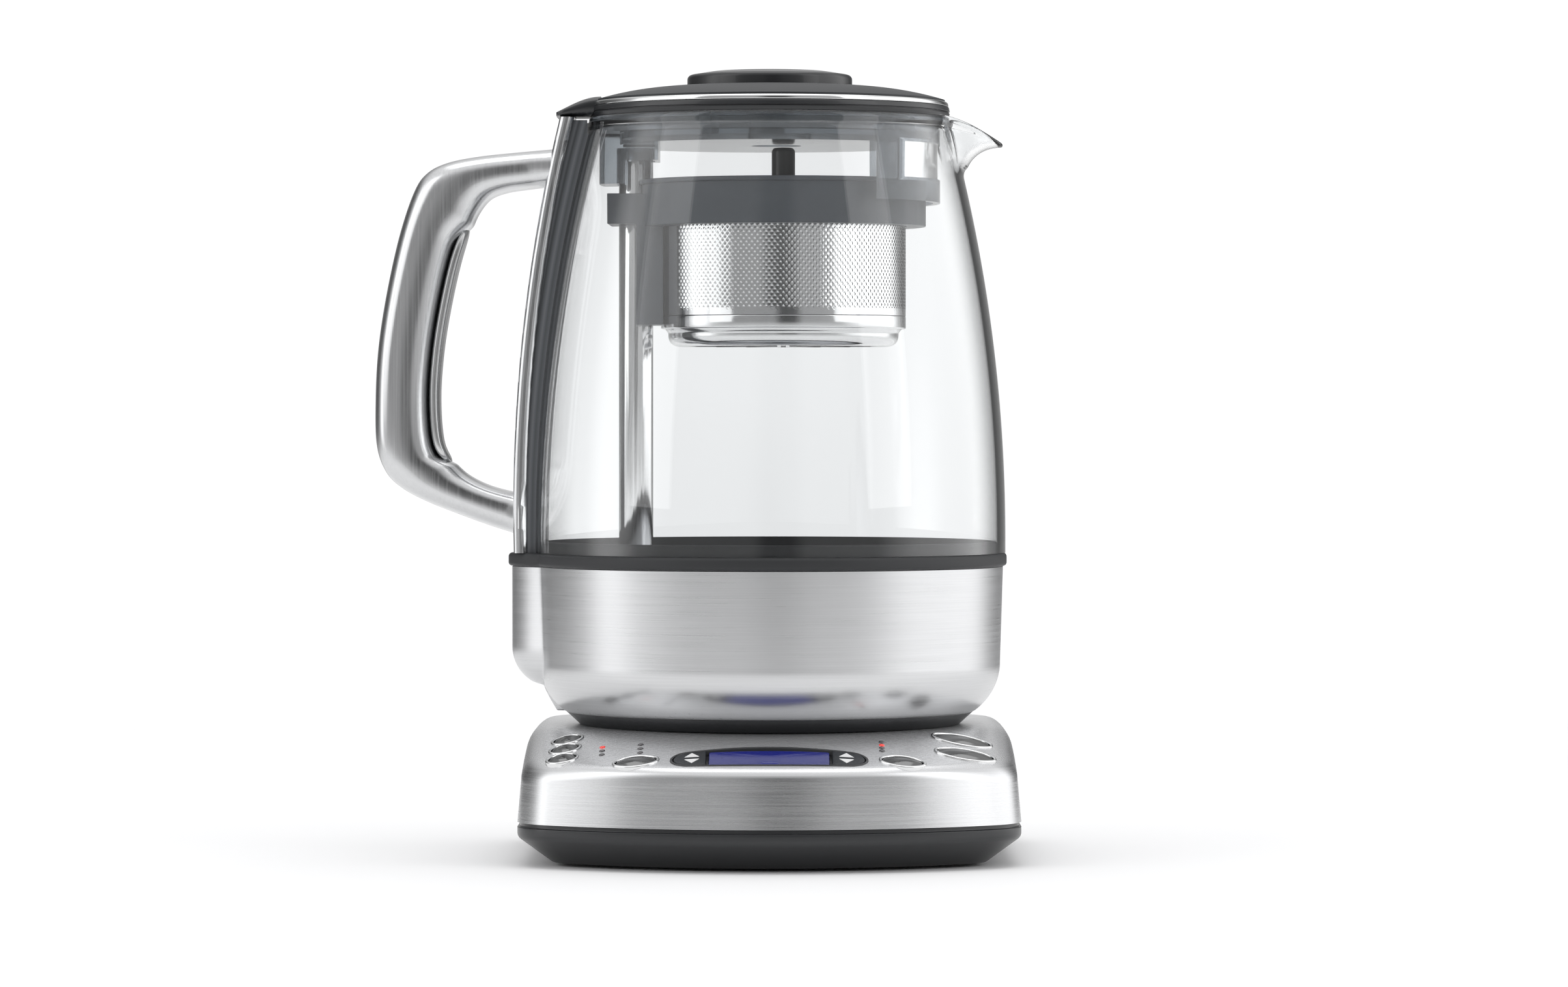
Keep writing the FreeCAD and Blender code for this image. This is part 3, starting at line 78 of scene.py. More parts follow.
def length(name, description, default):
    """A length property, given in millimetres and kept in metres."""
    return bpy.props.FloatProperty(
        name=name, description=description, default=default * MM, unit="LENGTH", precision=5
    )


def colour(name, description, default):
    """A colour property with three channels."""
    return bpy.props.FloatVectorProperty(
        name=name, description=description, default=default, subtype="COLOR", size=3, min=0, max=1
    )


def share(name, description, default):
    """A plain number property from nought to one."""
    return bpy.props.FloatProperty(
        name=name, description=description, default=default, min=0, max=1, subtype="FACTOR"
    )


class BaseSizes(bpy.types.PropertyGroup):
    """Sizes of the power base and its controls."""

    axis_y: length("Panel axis", "How far behind the jug's axis the panel is drawn from", 22)
    flat_radius: length("Flat radius", "Where the flat deck turns into the slope", 84)
    slope: share("Panel slope", "Fall of the control panel for each unit outwards", 0.287)
    front_corner: length("Front corner", "Radius of the plan's front corners", 25)
    rear_corner: length("Rear corner", "Radius of the plan's rear corners", 30)
    front_edge: length("Front edge", "Radius of the top edge along the front", 3.2)
    side_edge: length("Side edge", "Radius of the top edge along the sides and the rear", 7.5)
    side_taper: length("Side taper", "How far the steel side leans in up to its top", 1.2)
    wall: length("Wall", "Thickness of the steel shell", 1.2)
    socket_radius: length("Socket hole", "Radius of the deck's hole for the connector", 21.7)
    cap_gap: length("Cap gap", "Gap between a button and its surround", 0.3)
    surround: length("Surround", "Width of the bright ring round a button", 1.0)
    dome: length("Dome", "Height of a button's crown above its rim", 1.1)


class JugSizes(bpy.types.PropertyGroup):
    """Sizes of the jug's steel foot, glass and handle."""

    nose_place: length("Nose place", "Distance from the jug's axis to the nose's axis", 68)
    nose_blend: length("Nose blend", "Size of the hollow between the nose and the round foot", 9)
    glass_wall: length("Glass wall", "Thickness of the glass", 2.6)
    glass_curve: length("Glass curve", "Radius of the long curve of the glass", 520)
    bead: length("Bead", "Extra thickness of the rolled rim", 1.1)
    spout_half: length("Spout half width", "Half width of the spout where it leaves the rim", 17)
    handle_width: length("Handle width", "Width of the grip across the hand", 24)
    strip: length("Strip", "Thickness of the polished strip inside the grip", 3.7)


class BasketSizes(bpy.types.PropertyGroup):
    """Sizes of the perforated basket."""

    pitch: length("Hole pitch", "Distance between two holes of one row", 1.87)
    row: length("Row pitch", "Height from one row of holes to the next", 1.09)
    hole: length("Hole radius", "Radius of a hole", 0.56)
    wall: length("Basket wall", "Thickness of the perforated wall", 0.45)
    blank: length("Blank edge", "Height of the plain band under the holes", 1.2)
    plain_strip: length("Plain strip", "Half width of the plain wall at the bracket", 23)


class Finishes(bpy.types.PropertyGroup):
    """Colours and gloss of the finishes."""

    steel: colour("Steel", "Brushed steel", (0.66, 0.665, 0.675))
    steel_gloss: share("Steel roughness", "Roughness of brushed steel", 0.27)
    bright: colour("Bright steel", "Polished steel", (0.78, 0.785, 0.79))
    glass: colour("Glass", "Tint of the glass", (0.965, 0.972, 0.975))
    black: colour("Black plastic", "Moulded black plastic", (0.012, 0.013, 0.015))
    grey: colour("Grey plastic", "Moulded grey plastic", (0.046, 0.053, 0.063))
    smoke: colour("Smoke plastic", "Clear grey plastic", (0.36, 0.39, 0.42))
    rubber: colour("Rubber", "Black rubber", (0.018, 0.019, 0.021))
    screen: colour("Screen", "Lit display", (0.012, 0.018, 0.21))


class StageSettings(bpy.types.PropertyGroup):
    """Camera, floor and light."""

    camera_distance: length("Camera distance", "From the jug's axis to the camera", 2012)
    camera_height: length("Camera height", "Height of the camera above the table", 144.3)
    camera_aim: length("Aim height", "Height that the camera looks at", 118.6)
    camera_side: length("Camera side", "How far the camera stands to the side", 4.7)
    lens: bpy.props.FloatProperty(
        name="Lens", description="Focal length of the camera", default=139.9, unit="CAMERA"
    )
    floor: colour("Floor", "Colour of the floor", (0.94, 0.94, 0.94))
    key_power: bpy.props.FloatProperty(
        name="Key power", description="Power of each large side light", default=3.2, unit="POWER"
    )
    top_power: bpy.props.FloatProperty(
        name="Top power", description="Power of the light overhead", default=6, unit="POWER"
    )


def settings(group):
    """A property group of the scene by its name."""
    return getattr(bpy.context.scene, f"brewer_{group}")


def mm(value):
    """A length property in millimetres."""
    return value / MM


# ---------------------------------------------------------------- shader nodes


class Value:
    """A shader socket that carries a number; arithmetic on it adds Math nodes."""

    def __init__(self, finish, socket):
        self.finish = finish
        self.socket = socket

    def math(self, operation, first, second=0.0):
        return self.finish.add("Math", {"operation": operation}, {0: first, 1: second})

    def __add__(self, other):
        return self.math("ADD", self, other)

    def __radd__(self, other):
        return self.math("ADD", other, self)

    def __sub__(self, other):
        return self.math("SUBTRACT", self, other)

    def __rsub__(self, other):
        return self.math("SUBTRACT", other, self)

    def __mul__(self, other):
        return self.math("MULTIPLY", self, other)

    def __rmul__(self, other):
        return self.math("MULTIPLY", other, self)

    def __truediv__(self, other):
        return self.math("DIVIDE", self, other)

    def __pow__(self, other):
        return self.math("POWER", self, other)


class Nodes:
    """A node tree, with one way to add a node to it."""

    def __init__(self, tree):
        self.tree = tree

    def connect(self, value, socket):
        """Links a value to a socket, or sets the socket to a constant."""
        if isinstance(value, Value):
            self.tree.links.new(value.socket, socket)
        elif socket.type == "RGBA":
            socket.default_value = (*value, 1)
        else:
            socket.default_value = value

    def add(self, kind, options=(), inputs=(), output=0):
        """Adds a shader node of a kind, with its settings first and then its inputs."""
        node = self.tree.nodes.new(f"ShaderNode{kind}")
        for key, value in dict(options).items():
            if key == "stops":
                ramp_stops(node.color_ramp, value)
            else:
                setattr(node, key, value)
        for key, value in dict(inputs).items():
            self.connect(value, node.inputs[key])
        return Value(self, node.outputs[output])

    def mix(self, factor, first, second):
        """A colour between two colours."""
        return self.add(
            "Mix", {"data_type": "RGBA"}, {0: factor, 6: first, 7: second}, output=2
        )


class Finish(Nodes):
    """A material's node tree and the shader at its end."""

    def __init__(self, name, **constants):
        self.material = bpy.data.materials.new(name)
        self.material.use_nodes = True
        super().__init__(self.material.node_tree)
        self.shader = self.tree.nodes["Principled BSDF"]
        for key, value in constants.items():
            self.set(key.replace("_", " ").title().replace("Ior", "IOR"), value)

    def set(self, socket, value):
        """Sets a socket of the shader to a constant or links a value to it."""
        self.connect(value, self.shader.inputs[socket])

    def place(self):
        """Object coordinates, in metres."""
        return self.add("TexCoord", output=3)

    def noise(self, stretch, detail=3.0, roughness=0.5):
        """Noise whose cells are squeezed by a factor per metre along each axis."""
        where = self.add("Mapping", inputs={"Vector": self.place(), "Scale": stretch})
        return self.add(
            "TexNoise", inputs={"Vector": where, "Scale": 1.0, "Detail": detail,
                                "Roughness": roughness}
        )

    def bump(self, height, strength, distance):
        """Feeds a Bump node from a height to the shader's Normal."""
        inputs = {"Height": height, "Strength": strength, "Distance": distance}
        self.set("Normal", self.add("Bump", inputs=inputs))


def ramp_stops(ramp, stops):
    """Sets a colour ramp to (position, brightness) stops."""
    while len(ramp.elements) < len(stops):
        ramp.elements.new(0.5)
    for element, (position, brightness) in zip(ramp.elements, stops):
        element.position = position
        element.color = (brightness, brightness, brightness, 1)


def scaled(tint, factor):
    """A colour with each channel multiplied by a factor."""
    return tuple(channel * factor for channel in tint)


def lying_mask(finish):
    """One where the surface lies flat and nought where it stands upright."""
    normal = finish.add("NewGeometry", output=1)
    upward = finish.add("SeparateXYZ", inputs={0: normal}, output=2)
    steep = finish.add("Math", {"operation": "ABSOLUTE"}, {0: upward})
    return finish.add(
        "MapRange", {"interpolation_type": "SMOOTHSTEP"}, {0: steep, 1: 0.55, 2: 0.85}
    )


def brushed_steel(name, tint, roughness, along="round"):
    """Steel with fine brushing: round the body and along X on a deck, or along its height."""
    finish = Finish(name, metallic=1.0)
    if along == "round":
        standing = finish.noise((26, 26, 2600))
        lying = finish.noise((26, 2600, 2600))
        flat = lying_mask(finish)
        streaks = standing * (1 - flat) + lying * flat
        finish.set("Metallic", 1 - flat * 0.4)
    else:
        streaks = finish.noise((1900, 1900, 24))
    cloud = finish.noise((14, 14, 14), detail=2.0)
    tone = streaks * 0.75 + cloud * 0.25
    finish.set("Base Color", finish.mix(tone, scaled(tint, 0.86), scaled(tint, 1.12)))
    finish.set("Roughness", roughness - 0.09 + streaks * 0.14 + cloud * 0.04)
    finish.bump(streaks, 0.09, 0.00006)
    return finish.material


def polished_metal(name, tint, roughness):
    """Bright metal with faint smears in its gloss."""
    finish = Finish(name, metallic=1.0)
    smear = finish.noise((60, 60, 60), detail=4.0)
    finish.set("Base Color", finish.mix(smear, scaled(tint, 0.94), scaled(tint, 1.04)))
    finish.set("Roughness", roughness + smear * 0.05)
    return finish.material


def moulded_plastic(name, tint, roughness, grain=0.06, coat=0.0):
    """Moulded plastic with a fine spark-eroded grain and a slight drift in its gloss."""
    finish = Finish(name, coat_weight=coat, coat_roughness=0.08)
    pebble = finish.noise((2300, 2300, 2300), detail=2.0)
    drift = finish.noise((22, 22, 22), detail=2.0)
    finish.set("Base Color", finish.mix(drift, scaled(tint, 0.88), scaled(tint, 1.15)))
    finish.set("Roughness", roughness - 0.04 + drift * 0.06 + pebble * 0.04)
    finish.bump(pebble, grain, 0.00008)
    return finish.material


def clear_glass(name, tint):
    """Colourless blown glass with faint waves in its surface."""
    finish = Finish(
        name, base_color=tint, roughness=0.0, ior=1.48, transmission_weight=1.0
    )
    waves = finish.noise((34, 34, 12), detail=1.0)
    finish.bump(waves, 0.03, 0.0006)
    return finish.material


def gasket_painted_refraction(name, tint):
    """Grey seal seen through the glass edge, with painted refraction: soft bands of light and
    shade that follow the glass's long curve.
    A stripe's place is its distance behind the glass, x + radius - curve + sqrt(curve^2 -
    rise^2), where rise is the height over the foot of the curve."""
    finish = Finish(name, coat_weight=0.5, coat_roughness=0.1)
    where = finish.place()
    x = finish.add("SeparateXYZ", inputs={0: where}, output=0)
    z = finish.add("SeparateXYZ", inputs={0: where}, output=2)
    curve = settings("jug").glass_curve
    rise = finish.add("Math", {"operation": "MAXIMUM"}, {0: z - CURVE_FOOT * MM, 1: 0.0})
    reach = (curve * curve - rise * rise) ** 0.5
    behind = x + (NodeBox("glass_jug").radius * MM - curve) + reach
    place = behind / (9 * MM) + 0.75
    stops = ((0.0, 0.02), (0.22, 0.05), (0.34, 0.2), (0.42, 0.06), (0.6, 0.28), (0.72, 0.12),
             (1.0, 0.3))
    # painted refraction: the light and dark bands that the glass edge throws over the seal
    painted_refraction = finish.add("ValToRGB", {"stops": stops}, {0: place})
    finish.set("Base Color", finish.mix(painted_refraction, scaled(tint, 0.3), (0.42, 0.44, 0.47)))
    pebble = finish.noise((900, 900, 90), detail=2.0)
    finish.set("Roughness", 0.26 + pebble * 0.1)
    return finish.material


def smoke_plastic(name, tint):
    """See-through grey plastic with a satin skin."""
    finish = Finish(name, ior=1.3, transmission_weight=0.86)
    drift = finish.noise((30, 30, 30), detail=2.0)
    finish.set("Base Color", finish.mix(drift, scaled(tint, 0.92), scaled(tint, 1.08)))
    finish.set("Roughness", 0.1 + drift * 0.06)
    return finish.material


def lit_screen(name, tint):
    """The lit display: a deep blue that is a little brighter towards its rear edge."""
    finish = Finish(
        name, roughness=0.12, coat_weight=1.0, coat_roughness=0.03, emission_strength=0.03
    )
    height = finish.add("SeparateXYZ", inputs={0: finish.place()}, output=2)
    pane = NodeBox("display_window")
    rear = finish.add(
        "MapRange", inputs={0: height, 1: pane.bottom * MM, 2: pane.top * MM}
    )
    dots = finish.noise((900, 900, 900), detail=1.0)
    glow = rear * 0.8 + dots * 0.2
    finish.set("Base Color", finish.mix(glow, scaled(tint, 0.7), scaled(tint, 1.3)))
    finish.set("Emission Color", finish.mix(glow, scaled(tint, 0.8), scaled(tint, 1.5)))
    return finish.material


def small_light(name, tint, strength):
    """A small round lamp behind a clear lens."""
    finish = Finish(
        name, roughness=0.18, coat_weight=1.0, coat_roughness=0.04, emission_strength=strength
    )
    drift = finish.noise((1500, 1500, 1500), detail=1.0)
    finish.set("Base Color", finish.mix(drift, scaled(tint, 0.85), scaled(tint, 1.15)))
    finish.set("Emission Color", finish.mix(drift, scaled(tint, 0.9), tint))
    return finish.material


def circuit_board(name, tint):
    """Green lacquer over faint copper tracks."""
    finish = Finish(name, roughness=0.35, coat_weight=0.5)
    tracks = finish.add(
        "TexBrick", inputs={"Vector": finish.place(), "Scale": 220.0, "Mortar Size": 0.012},
        output=1,
    )
    finish.set("Base Color", finish.mix(tracks, tint, scaled(tint, 2.2)))
    return finish.material


FINISH = {}


def make_finishes():
    """Makes every finish once, by the name of its material slot."""
    look = settings("finishes")
    FINISH.update(
        brushed_steel=brushed_steel("brushed_steel", look.steel, look.steel_gloss),
        foot_steel=brushed_steel("foot_steel", look.steel, look.steel_gloss + 0.03),
        handle_steel=brushed_steel("handle_steel", look.steel, 0.22, along="height"),
        polished_steel=polished_metal("polished_steel", look.bright, 0.09),
        dark_chrome=polished_metal("dark_chrome", scaled(look.bright, 0.2), 0.12),
        # a darker copy of polished steel: painted shade for the inner face of the basket wall
        basket_inside=polished_metal("basket_inside", scaled(look.bright, 0.16), 0.3),
        strip_steel=polished_metal("strip_steel", scaled(look.bright, 0.8), 0.22),
        spine_steel=brushed_steel("spine_steel", look.steel, 0.2, along="height"),
        crown_plastic=moulded_plastic("crown_plastic", scaled(look.grey, 0.3), 0.5),
        # the seal under the spine, with painted refraction bands from the glass edge
        gasket_plastic=gasket_painted_refraction("gasket_plastic", look.grey),
        clear_glass=clear_glass("clear_glass", look.glass),
        black_plastic=moulded_plastic("black_plastic", look.black, 0.34, coat=0.25),
        grey_plastic=moulded_plastic("grey_plastic", look.grey, 0.36),
        key_plastic=moulded_plastic("key_plastic", scaled(look.grey, 0.45), 0.5, grain=0.25),
        smoke_plastic=smoke_plastic("smoke_plastic", look.smoke),
        black_rubber=moulded_plastic("black_rubber", look.rubber, 0.55, grain=0.1),
        blue_window=lit_screen("blue_window", look.screen),
        red_light=small_light("red_light", (0.75, 0.03, 0.02), 0.35),
        dark_light=small_light("dark_light", (0.05, 0.045, 0.05), 0.0),
        white_print=moulded_plastic("white_print", (0.82, 0.82, 0.82), 0.45, grain=0.02),
        green_board=circuit_board("green_board", (0.01, 0.09, 0.03)),
        copper_alloy=polished_metal("copper_alloy", (0.83, 0.55, 0.3), 0.2),
        motor_steel=polished_metal("motor_steel", (0.42, 0.43, 0.45), 0.32),
    )


# ---------------------------------------------------------------- shapes


def unit(vector):
    """A vector scaled to length one."""
    return vector / np.linalg.norm(vector)


def rounded(corners, closed=False, steps=6):
    """A line through (x, y, radius) corners: each corner with a radius becomes an arc that is
    tangent to both of its sides."""
    places = np.array([corner[:2] for corner in corners], float)
    count = len(places)
    runs = []
    for index, corner in enumerate(corners):
        end_point = not closed and index in (0, count - 1)
        if len(corner) < 3 or end_point:
            runs.append(places[index][None])
            continue
        back = unit(places[index - 1] - places[index])
        ahead = unit(places[(index + 1) % count] - places[index])
        half = math.acos(np.clip(back @ ahead, -1, 1)) / 2
        reach = corner[2] / math.tan(half)
        centre = places[index] + unit(back + ahead) * corner[2] / math.sin(half)
        start = places[index] + back * reach - centre
        end = places[index] + ahead * reach - centre
        angle = math.pi - 2 * half
        part = np.linspace(0, 1, steps + 1)[:, None]
        arc = (np.sin((1 - part) * angle) * start + np.sin(part * angle) * end) / math.sin(angle)
        runs.append(centre + arc)
    return np.vstack(runs)


class Shape:
    """Points in millimetres with four-sided faces; adding two shapes puts them in one mesh."""

    def __init__(self, points, faces):
        self.points = points
        self.faces = faces

    def __add__(self, other):
        faces = np.vstack([self.faces, other.faces + len(self.points)])
        return Shape(np.vstack([self.points, other.points]), faces)

    def through(self, change):
        """The same faces with every point moved by a function of the point array."""
        return Shape(change(self.points), self.faces)


def net(points, wrap_rows=False, wrap_columns=True):
    """A net of faces over a grid of points shaped (rows, columns, 3)."""
    rows, columns = points.shape[:2]
    row = np.arange(rows if wrap_rows else rows - 1)[:, None]
    column = np.arange(columns if wrap_columns else columns - 1)[None]
    next_row = (row + 1) % rows
    next_column = (column + 1) % columns
    faces = np.stack(
        np.broadcast_arrays(
            row * columns + column,
            row * columns + next_column,
            next_row * columns + next_column,
            next_row * columns + column,
        ),
        axis=-1,
    ).reshape(-1, 4)
    return Shape(points.reshape(-1, 3), faces)


def closed_tube(rings):
    """A tube through a grid of rings, with a fan to the middle of each end ring."""
    columns = rings.shape[1]
    first = np.repeat(rings[:1].mean(1, keepdims=True), columns, axis=1)
    last = np.repeat(rings[-1:].mean(1, keepdims=True), columns, axis=1)
    return net(np.concatenate([first, rings, last]))


def turned(profile, x=0.0, y=0.0, steps=144, closed=False):
    """A profile of (radius, height) turned about an upright axis: the point at angle a is
    (x + radius cos a, y + radius sin a, height)."""
    profile = np.asarray(profile, float)
    angle = np.linspace(0, FULL_TURN, steps, endpoint=False)
    radius, height = profile[:, 0][:, None], profile[:, 1][:, None]
    points = np.stack(
        np.broadcast_arrays(x + radius * np.cos(angle), y + radius * np.sin(angle),
                            height + 0 * angle),
        axis=-1,
    )
    return net(points, wrap_rows=closed)


def oval(half_x, half_y, end, steps=10):
    """An oval of four arcs that are tangent where they meet: two ends of one radius and two
    long sides. Gives the points and their outward normals."""
    side = ((half_x - end) ** 2 + half_y**2 - end**2) / (2 * (half_y - end))
    meet = math.atan2(side - half_y, half_x - end)
    points, normals = [], []
    for centre, radius, start, stop in (
        ((half_x - end, 0), end, -meet, meet),
        ((0, half_y - side), side, meet, math.pi - meet),
        ((end - half_x, 0), end, math.pi - meet, math.pi + meet),
        ((0, side - half_y), side, math.pi + meet, FULL_TURN - meet),
    ):
        angle = np.linspace(start, stop, steps, endpoint=False)
        normal = np.stack([np.cos(angle), np.sin(angle)], axis=-1)
        points.append(np.array(centre) + radius * normal)
        normals.append(normal)
    return np.vstack(points), np.vstack(normals)


def circle(radius, steps=48):
    """A circle's points and their outward normals."""
    angle = np.linspace(0, FULL_TURN, steps, endpoint=False)
    normals = np.stack([np.cos(angle), np.sin(angle)], axis=-1)
    return radius * normals, normals


def stack(outline, levels):
    """Rings over a closed outline, one for each (inset, height, scale) level: a ring is the
    outline moved in along its normals by the inset, then scaled about the middle."""
    points, normals = outline
    rings = []
    for level in levels:
        inset, height = level[:2]
        scale = level[2] if len(level) > 2 else 1.0
        flat = (points - normals * inset) * scale
        rings.append(np.column_stack([flat, np.full(len(flat), height)]))
    return net(np.stack(rings))


def build(name, shape, finish, body, replaces=(), sharp=SHARP):
    """Makes a piece: its doubles are merged, its faces point outwards, its sharp edges are
    marked by angle, and it rides on its body."""
    mesh = bpy.data.meshes.new(name)
    mesh.from_pydata((shape.points * MM).tolist(), [], shape.faces.tolist())
    work = bmesh.new()
    work.from_mesh(mesh)
    bmesh.ops.remove_doubles(work, verts=work.verts, dist=1e-6)
    bmesh.ops.dissolve_degenerate(work, edges=work.edges, dist=1e-7)
    bmesh.ops.recalc_face_normals(work, faces=work.faces)
    work.to_mesh(mesh)
    work.free()
    mesh.shade_smooth()
    mesh.set_sharp_from_angle(angle=math.radians(sharp))
    piece = bpy.data.objects.new(name, mesh)
    bpy.context.scene.collection.objects.link(piece)
    mesh.materials.append(FINISH[finish])
    if body:
        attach(piece, body)
    if replaces:
        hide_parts(*([replaces] if isinstance(replaces, str) else replaces))
    return piece


def spline(points, count):
    """A smooth line through a few points: each span is the cubic whose slope at a point is
    half the step between that point's two neighbours."""
    points = np.asarray(points, float)
    padded = np.vstack([2 * points[0] - points[1], points, 2 * points[-1] - points[-2]])
    where = np.linspace(0, len(points) - 1, count)
    span = np.minimum(where.astype(int), len(points) - 2)
    t = (where - span)[:, None]
    before, start, end, after = (padded[span + shift] for shift in range(4))
    return (
        start
        + 0.5 * t * (end - before)
        + t**2 * (before - 2.5 * start + 2 * end - 0.5 * after)
        + t**3 * (1.5 * (start - end) + 0.5 * (after - before))
    )


def smooth_step(value, start, end):
    """Nought before the start, one after the end, and smooth between."""
    t = np.clip((value - start) / (end - start), 0, 1)
    return t * t * (3 - 2 * t)


# ---------------------------------------------------------------- power base


def deck_height(x, y):
    """Height of the deck: flat near the panel's axis and falling at a fixed slope further
    out, with a short smooth bend between the two."""
    base = settings("base")
    bend = 4.0
    past = np.hypot(x, y - mm(base.axis_y)) - mm(base.flat_radius)
    fall = (past + np.sqrt(past**2 + bend**2)) / 2 - bend * 0.1
    return NodeBox("base_top_shell").top - base.slope * np.maximum(fall, 0)


def base_plan():
    """The plan of the base and its outward normals: a front arc about the panel's axis, two
    front corners, straight sides, two rear corners and a straight rear."""
    base = settings("base")
    shell = NodeBox("base_top_shell")
    axis_y = mm(base.axis_y)
    front = axis_y - shell.front
    corner, rear_corner = mm(base.front_corner), mm(base.rear_corner)
    centre_x = shell.right - corner
    centre_y = -math.sqrt((front - corner) ** 2 - centre_x**2)
    rear_y = shell.back - axis_y
    meet = math.atan2(centre_y, centre_x)
    points, normals = [], []

    def arc(x, y, radius, start, stop, steps):
        angle = np.linspace(start, stop, steps)
        normal = np.column_stack([np.cos(angle), np.sin(angle)])
        points.append(np.array([x, y]) + radius * normal)
        normals.append(normal)

    def line(start, stop, normal, steps):
        part = np.linspace(0, 1, steps + 2)[1:-1, None]
        points.append(np.array(start) * (1 - part) + np.array(stop) * part)
        normals.append(np.tile(normal, (steps, 1)))

    inner_x, inner_y = shell.right - rear_corner, rear_y - rear_corner
    arc(0, 0, front, -math.pi - meet, meet, 121)
    arc(centre_x, centre_y, corner, meet, 0, 21)
    line((shell.right, centre_y), (shell.right, inner_y), (1, 0), 19)
    arc(inner_x, inner_y, rear_corner, 0, math.pi / 2, 21)
    line((inner_x, rear_y), (-inner_x, rear_y), (0, 1), 25)
    arc(-inner_x, inner_y, rear_corner, math.pi / 2, math.pi, 21)
    line((-shell.right, inner_y), (-shell.right, centre_y), (-1, 0), 19)
    arc(-centre_x, centre_y, corner, math.pi, math.pi - meet, 21)
    return np.vstack(points) + [0, axis_y], np.vstack(normals)


def shell_rings(inset, drop):
    """Rings of the steel shell from its lower edge over the rounded top edge and across the
    deck to the connector's hole, all moved in by the inset and down by the drop."""
    base = settings("base")
    shell = NodeBox("base_top_shell")
    points, normals = base_plan()
    forward = 1 - smooth_step(points[:, 1], -92, -55)
    edge = mm(base.side_edge) + (mm(base.front_edge) - mm(base.side_edge)) * forward
    taper = mm(base.side_taper)

    def ring(shift, height_of):
        flat = points - normals * (shift + inset)[:, None]
        return np.column_stack([flat, height_of(flat[:, 0], flat[:, 1])])

    full = np.ones(len(points))
    rim = ring(full * taper, deck_height)[:, 2] - edge - drop
    rings = []
    for part in np.linspace(0, 1, 8):
        level = shell.bottom + (rim - shell.bottom) * part
        rings.append(ring(full * taper * part, lambda x, y, z=level: z))
    for angle in np.linspace(0, math.pi / 2, 11)[1:]:
        shift = taper + edge * (1 - math.cos(angle))
        lift = edge * (1 - math.sin(angle)) + drop
        rings.append(ring(shift, lambda x, y, by=lift: deck_height(x, y) - by))
    last = rings[-1]
    turn = np.arctan2(last[:, 1], last[:, 0])
    target = mm(base.socket_radius) * np.column_stack([np.cos(turn), np.sin(turn)])
    for part in np.linspace(0, 1, 44)[1:]:
        flat = last[:, :2] * (1 - part) + target * part
        rings.append(np.column_stack([flat, deck_height(flat[:, 0], flat[:, 1]) - drop]))
    return np.stack(rings)


def on_panel(x, y):
    """A function that stands points on the sloping panel: their own third coordinate goes
    along the panel's normal, which leans away from the panel's axis."""
    base = settings("base")
    away = unit(np.array([x, y - mm(base.axis_y)]))
    axis = np.array([-away[1], away[0], 0])
    tilt = math.atan(base.slope)
    root = np.array([x, y, deck_height(x, y)])

    def place(points):
        across = np.cross(axis, points)
        along = (points @ axis)[:, None] * axis
        leaned = points * math.cos(tilt) + across * math.sin(tilt) + along * (1 - math.cos(tilt))
        return leaned + root

    return place


def button_outline(name, grow=0.0):
    """Outline of a button's cap, grown on all sides, from the size of its node."""
    node = NodeBox(name)
    half_x = (node.right - node.left) / 2
    round_half, narrow_half, round_radius, end = 5, 7, 4.2, 2.9
    if half_x < round_half:
        return circle(round_radius + grow)
    half_y = 4.4 if half_x < narrow_half else 4.9
    return oval(half_x + grow, half_y + grow, end + grow, steps=14)


BUTTONS = (
    "auto_start_button",
    "keep_warm_button",
    "basket_button",
    "tea_type_button",
    "strength_button",
    "hot_water_button",
    "tea_button",
)


def button_place(name):
    """Where a button's axis meets the panel: the middle of its node's flat top, brought down
    along the panel's normal."""
    base = settings("base")
    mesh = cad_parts[name].data
    flat = np.empty(len(mesh.vertices) * 3, np.float32)
    mesh.vertices.foreach_get("co", flat)
    points = flat.reshape(-1, 3).astype(float) / MM
    away = unit(points.mean(0)[:2] - [0, mm(base.axis_y)])
    tilt = math.atan(base.slope)
    normal = np.array([*(away * math.sin(tilt)), math.cos(tilt)])
    along = points @ normal
    crown = points[along > along.max() - 0.05]
    middle = (crown.max(0) + crown.min(0)) / 2 - normal * CAP_RISE
    return middle[0], middle[1]


def display_outline(grow=0.0):
    """The long oval of the display and its two rocker keys, about its own middle."""
    bezel = NodeBox("display_bezel")
    half_x = (bezel.right - bezel.left) / 2
    half_y = (bezel.back - bezel.front) / 2
    end = 6.8
    return oval(half_x + grow, half_y + grow, end + grow, steps=22)


def display_middle():
    """The middle of the display oval."""
    bezel = NodeBox("display_bezel")
    return bezel.x, bezel.y


def over_panel(x, y):
    """A function that lays points over the panel: their third coordinate becomes a height
    above the panel's surface."""

    def place(points):
        where_x, where_y = points[:, 0] + x, points[:, 1] + y
        return np.column_stack([where_x, where_y, deck_height(where_x, where_y) + points[:, 2]])

    return place


def light_places():
    """Middles of the small lights, column by column from the back, with the lit ones marked:
    two columns of three for the kind of tea and one column of four for its strength."""
    tea_x, tea_y, column_step, column_drop, row_step = -53.4, -62.6, 12.3, 3.0, 4.0
    strength_x, strength_y, strength_step = 35.9, -64.9, 2.9
    tea = [
        (tea_x + column_step * column, tea_y - column_drop * column - row_step * row,
         (column, row) == (0, 0))
        for column in range(2)
        for row in range(3)
    ]
    strength = [(strength_x, strength_y - strength_step * row, row == 1) for row in range(4)]
    return tea + strength


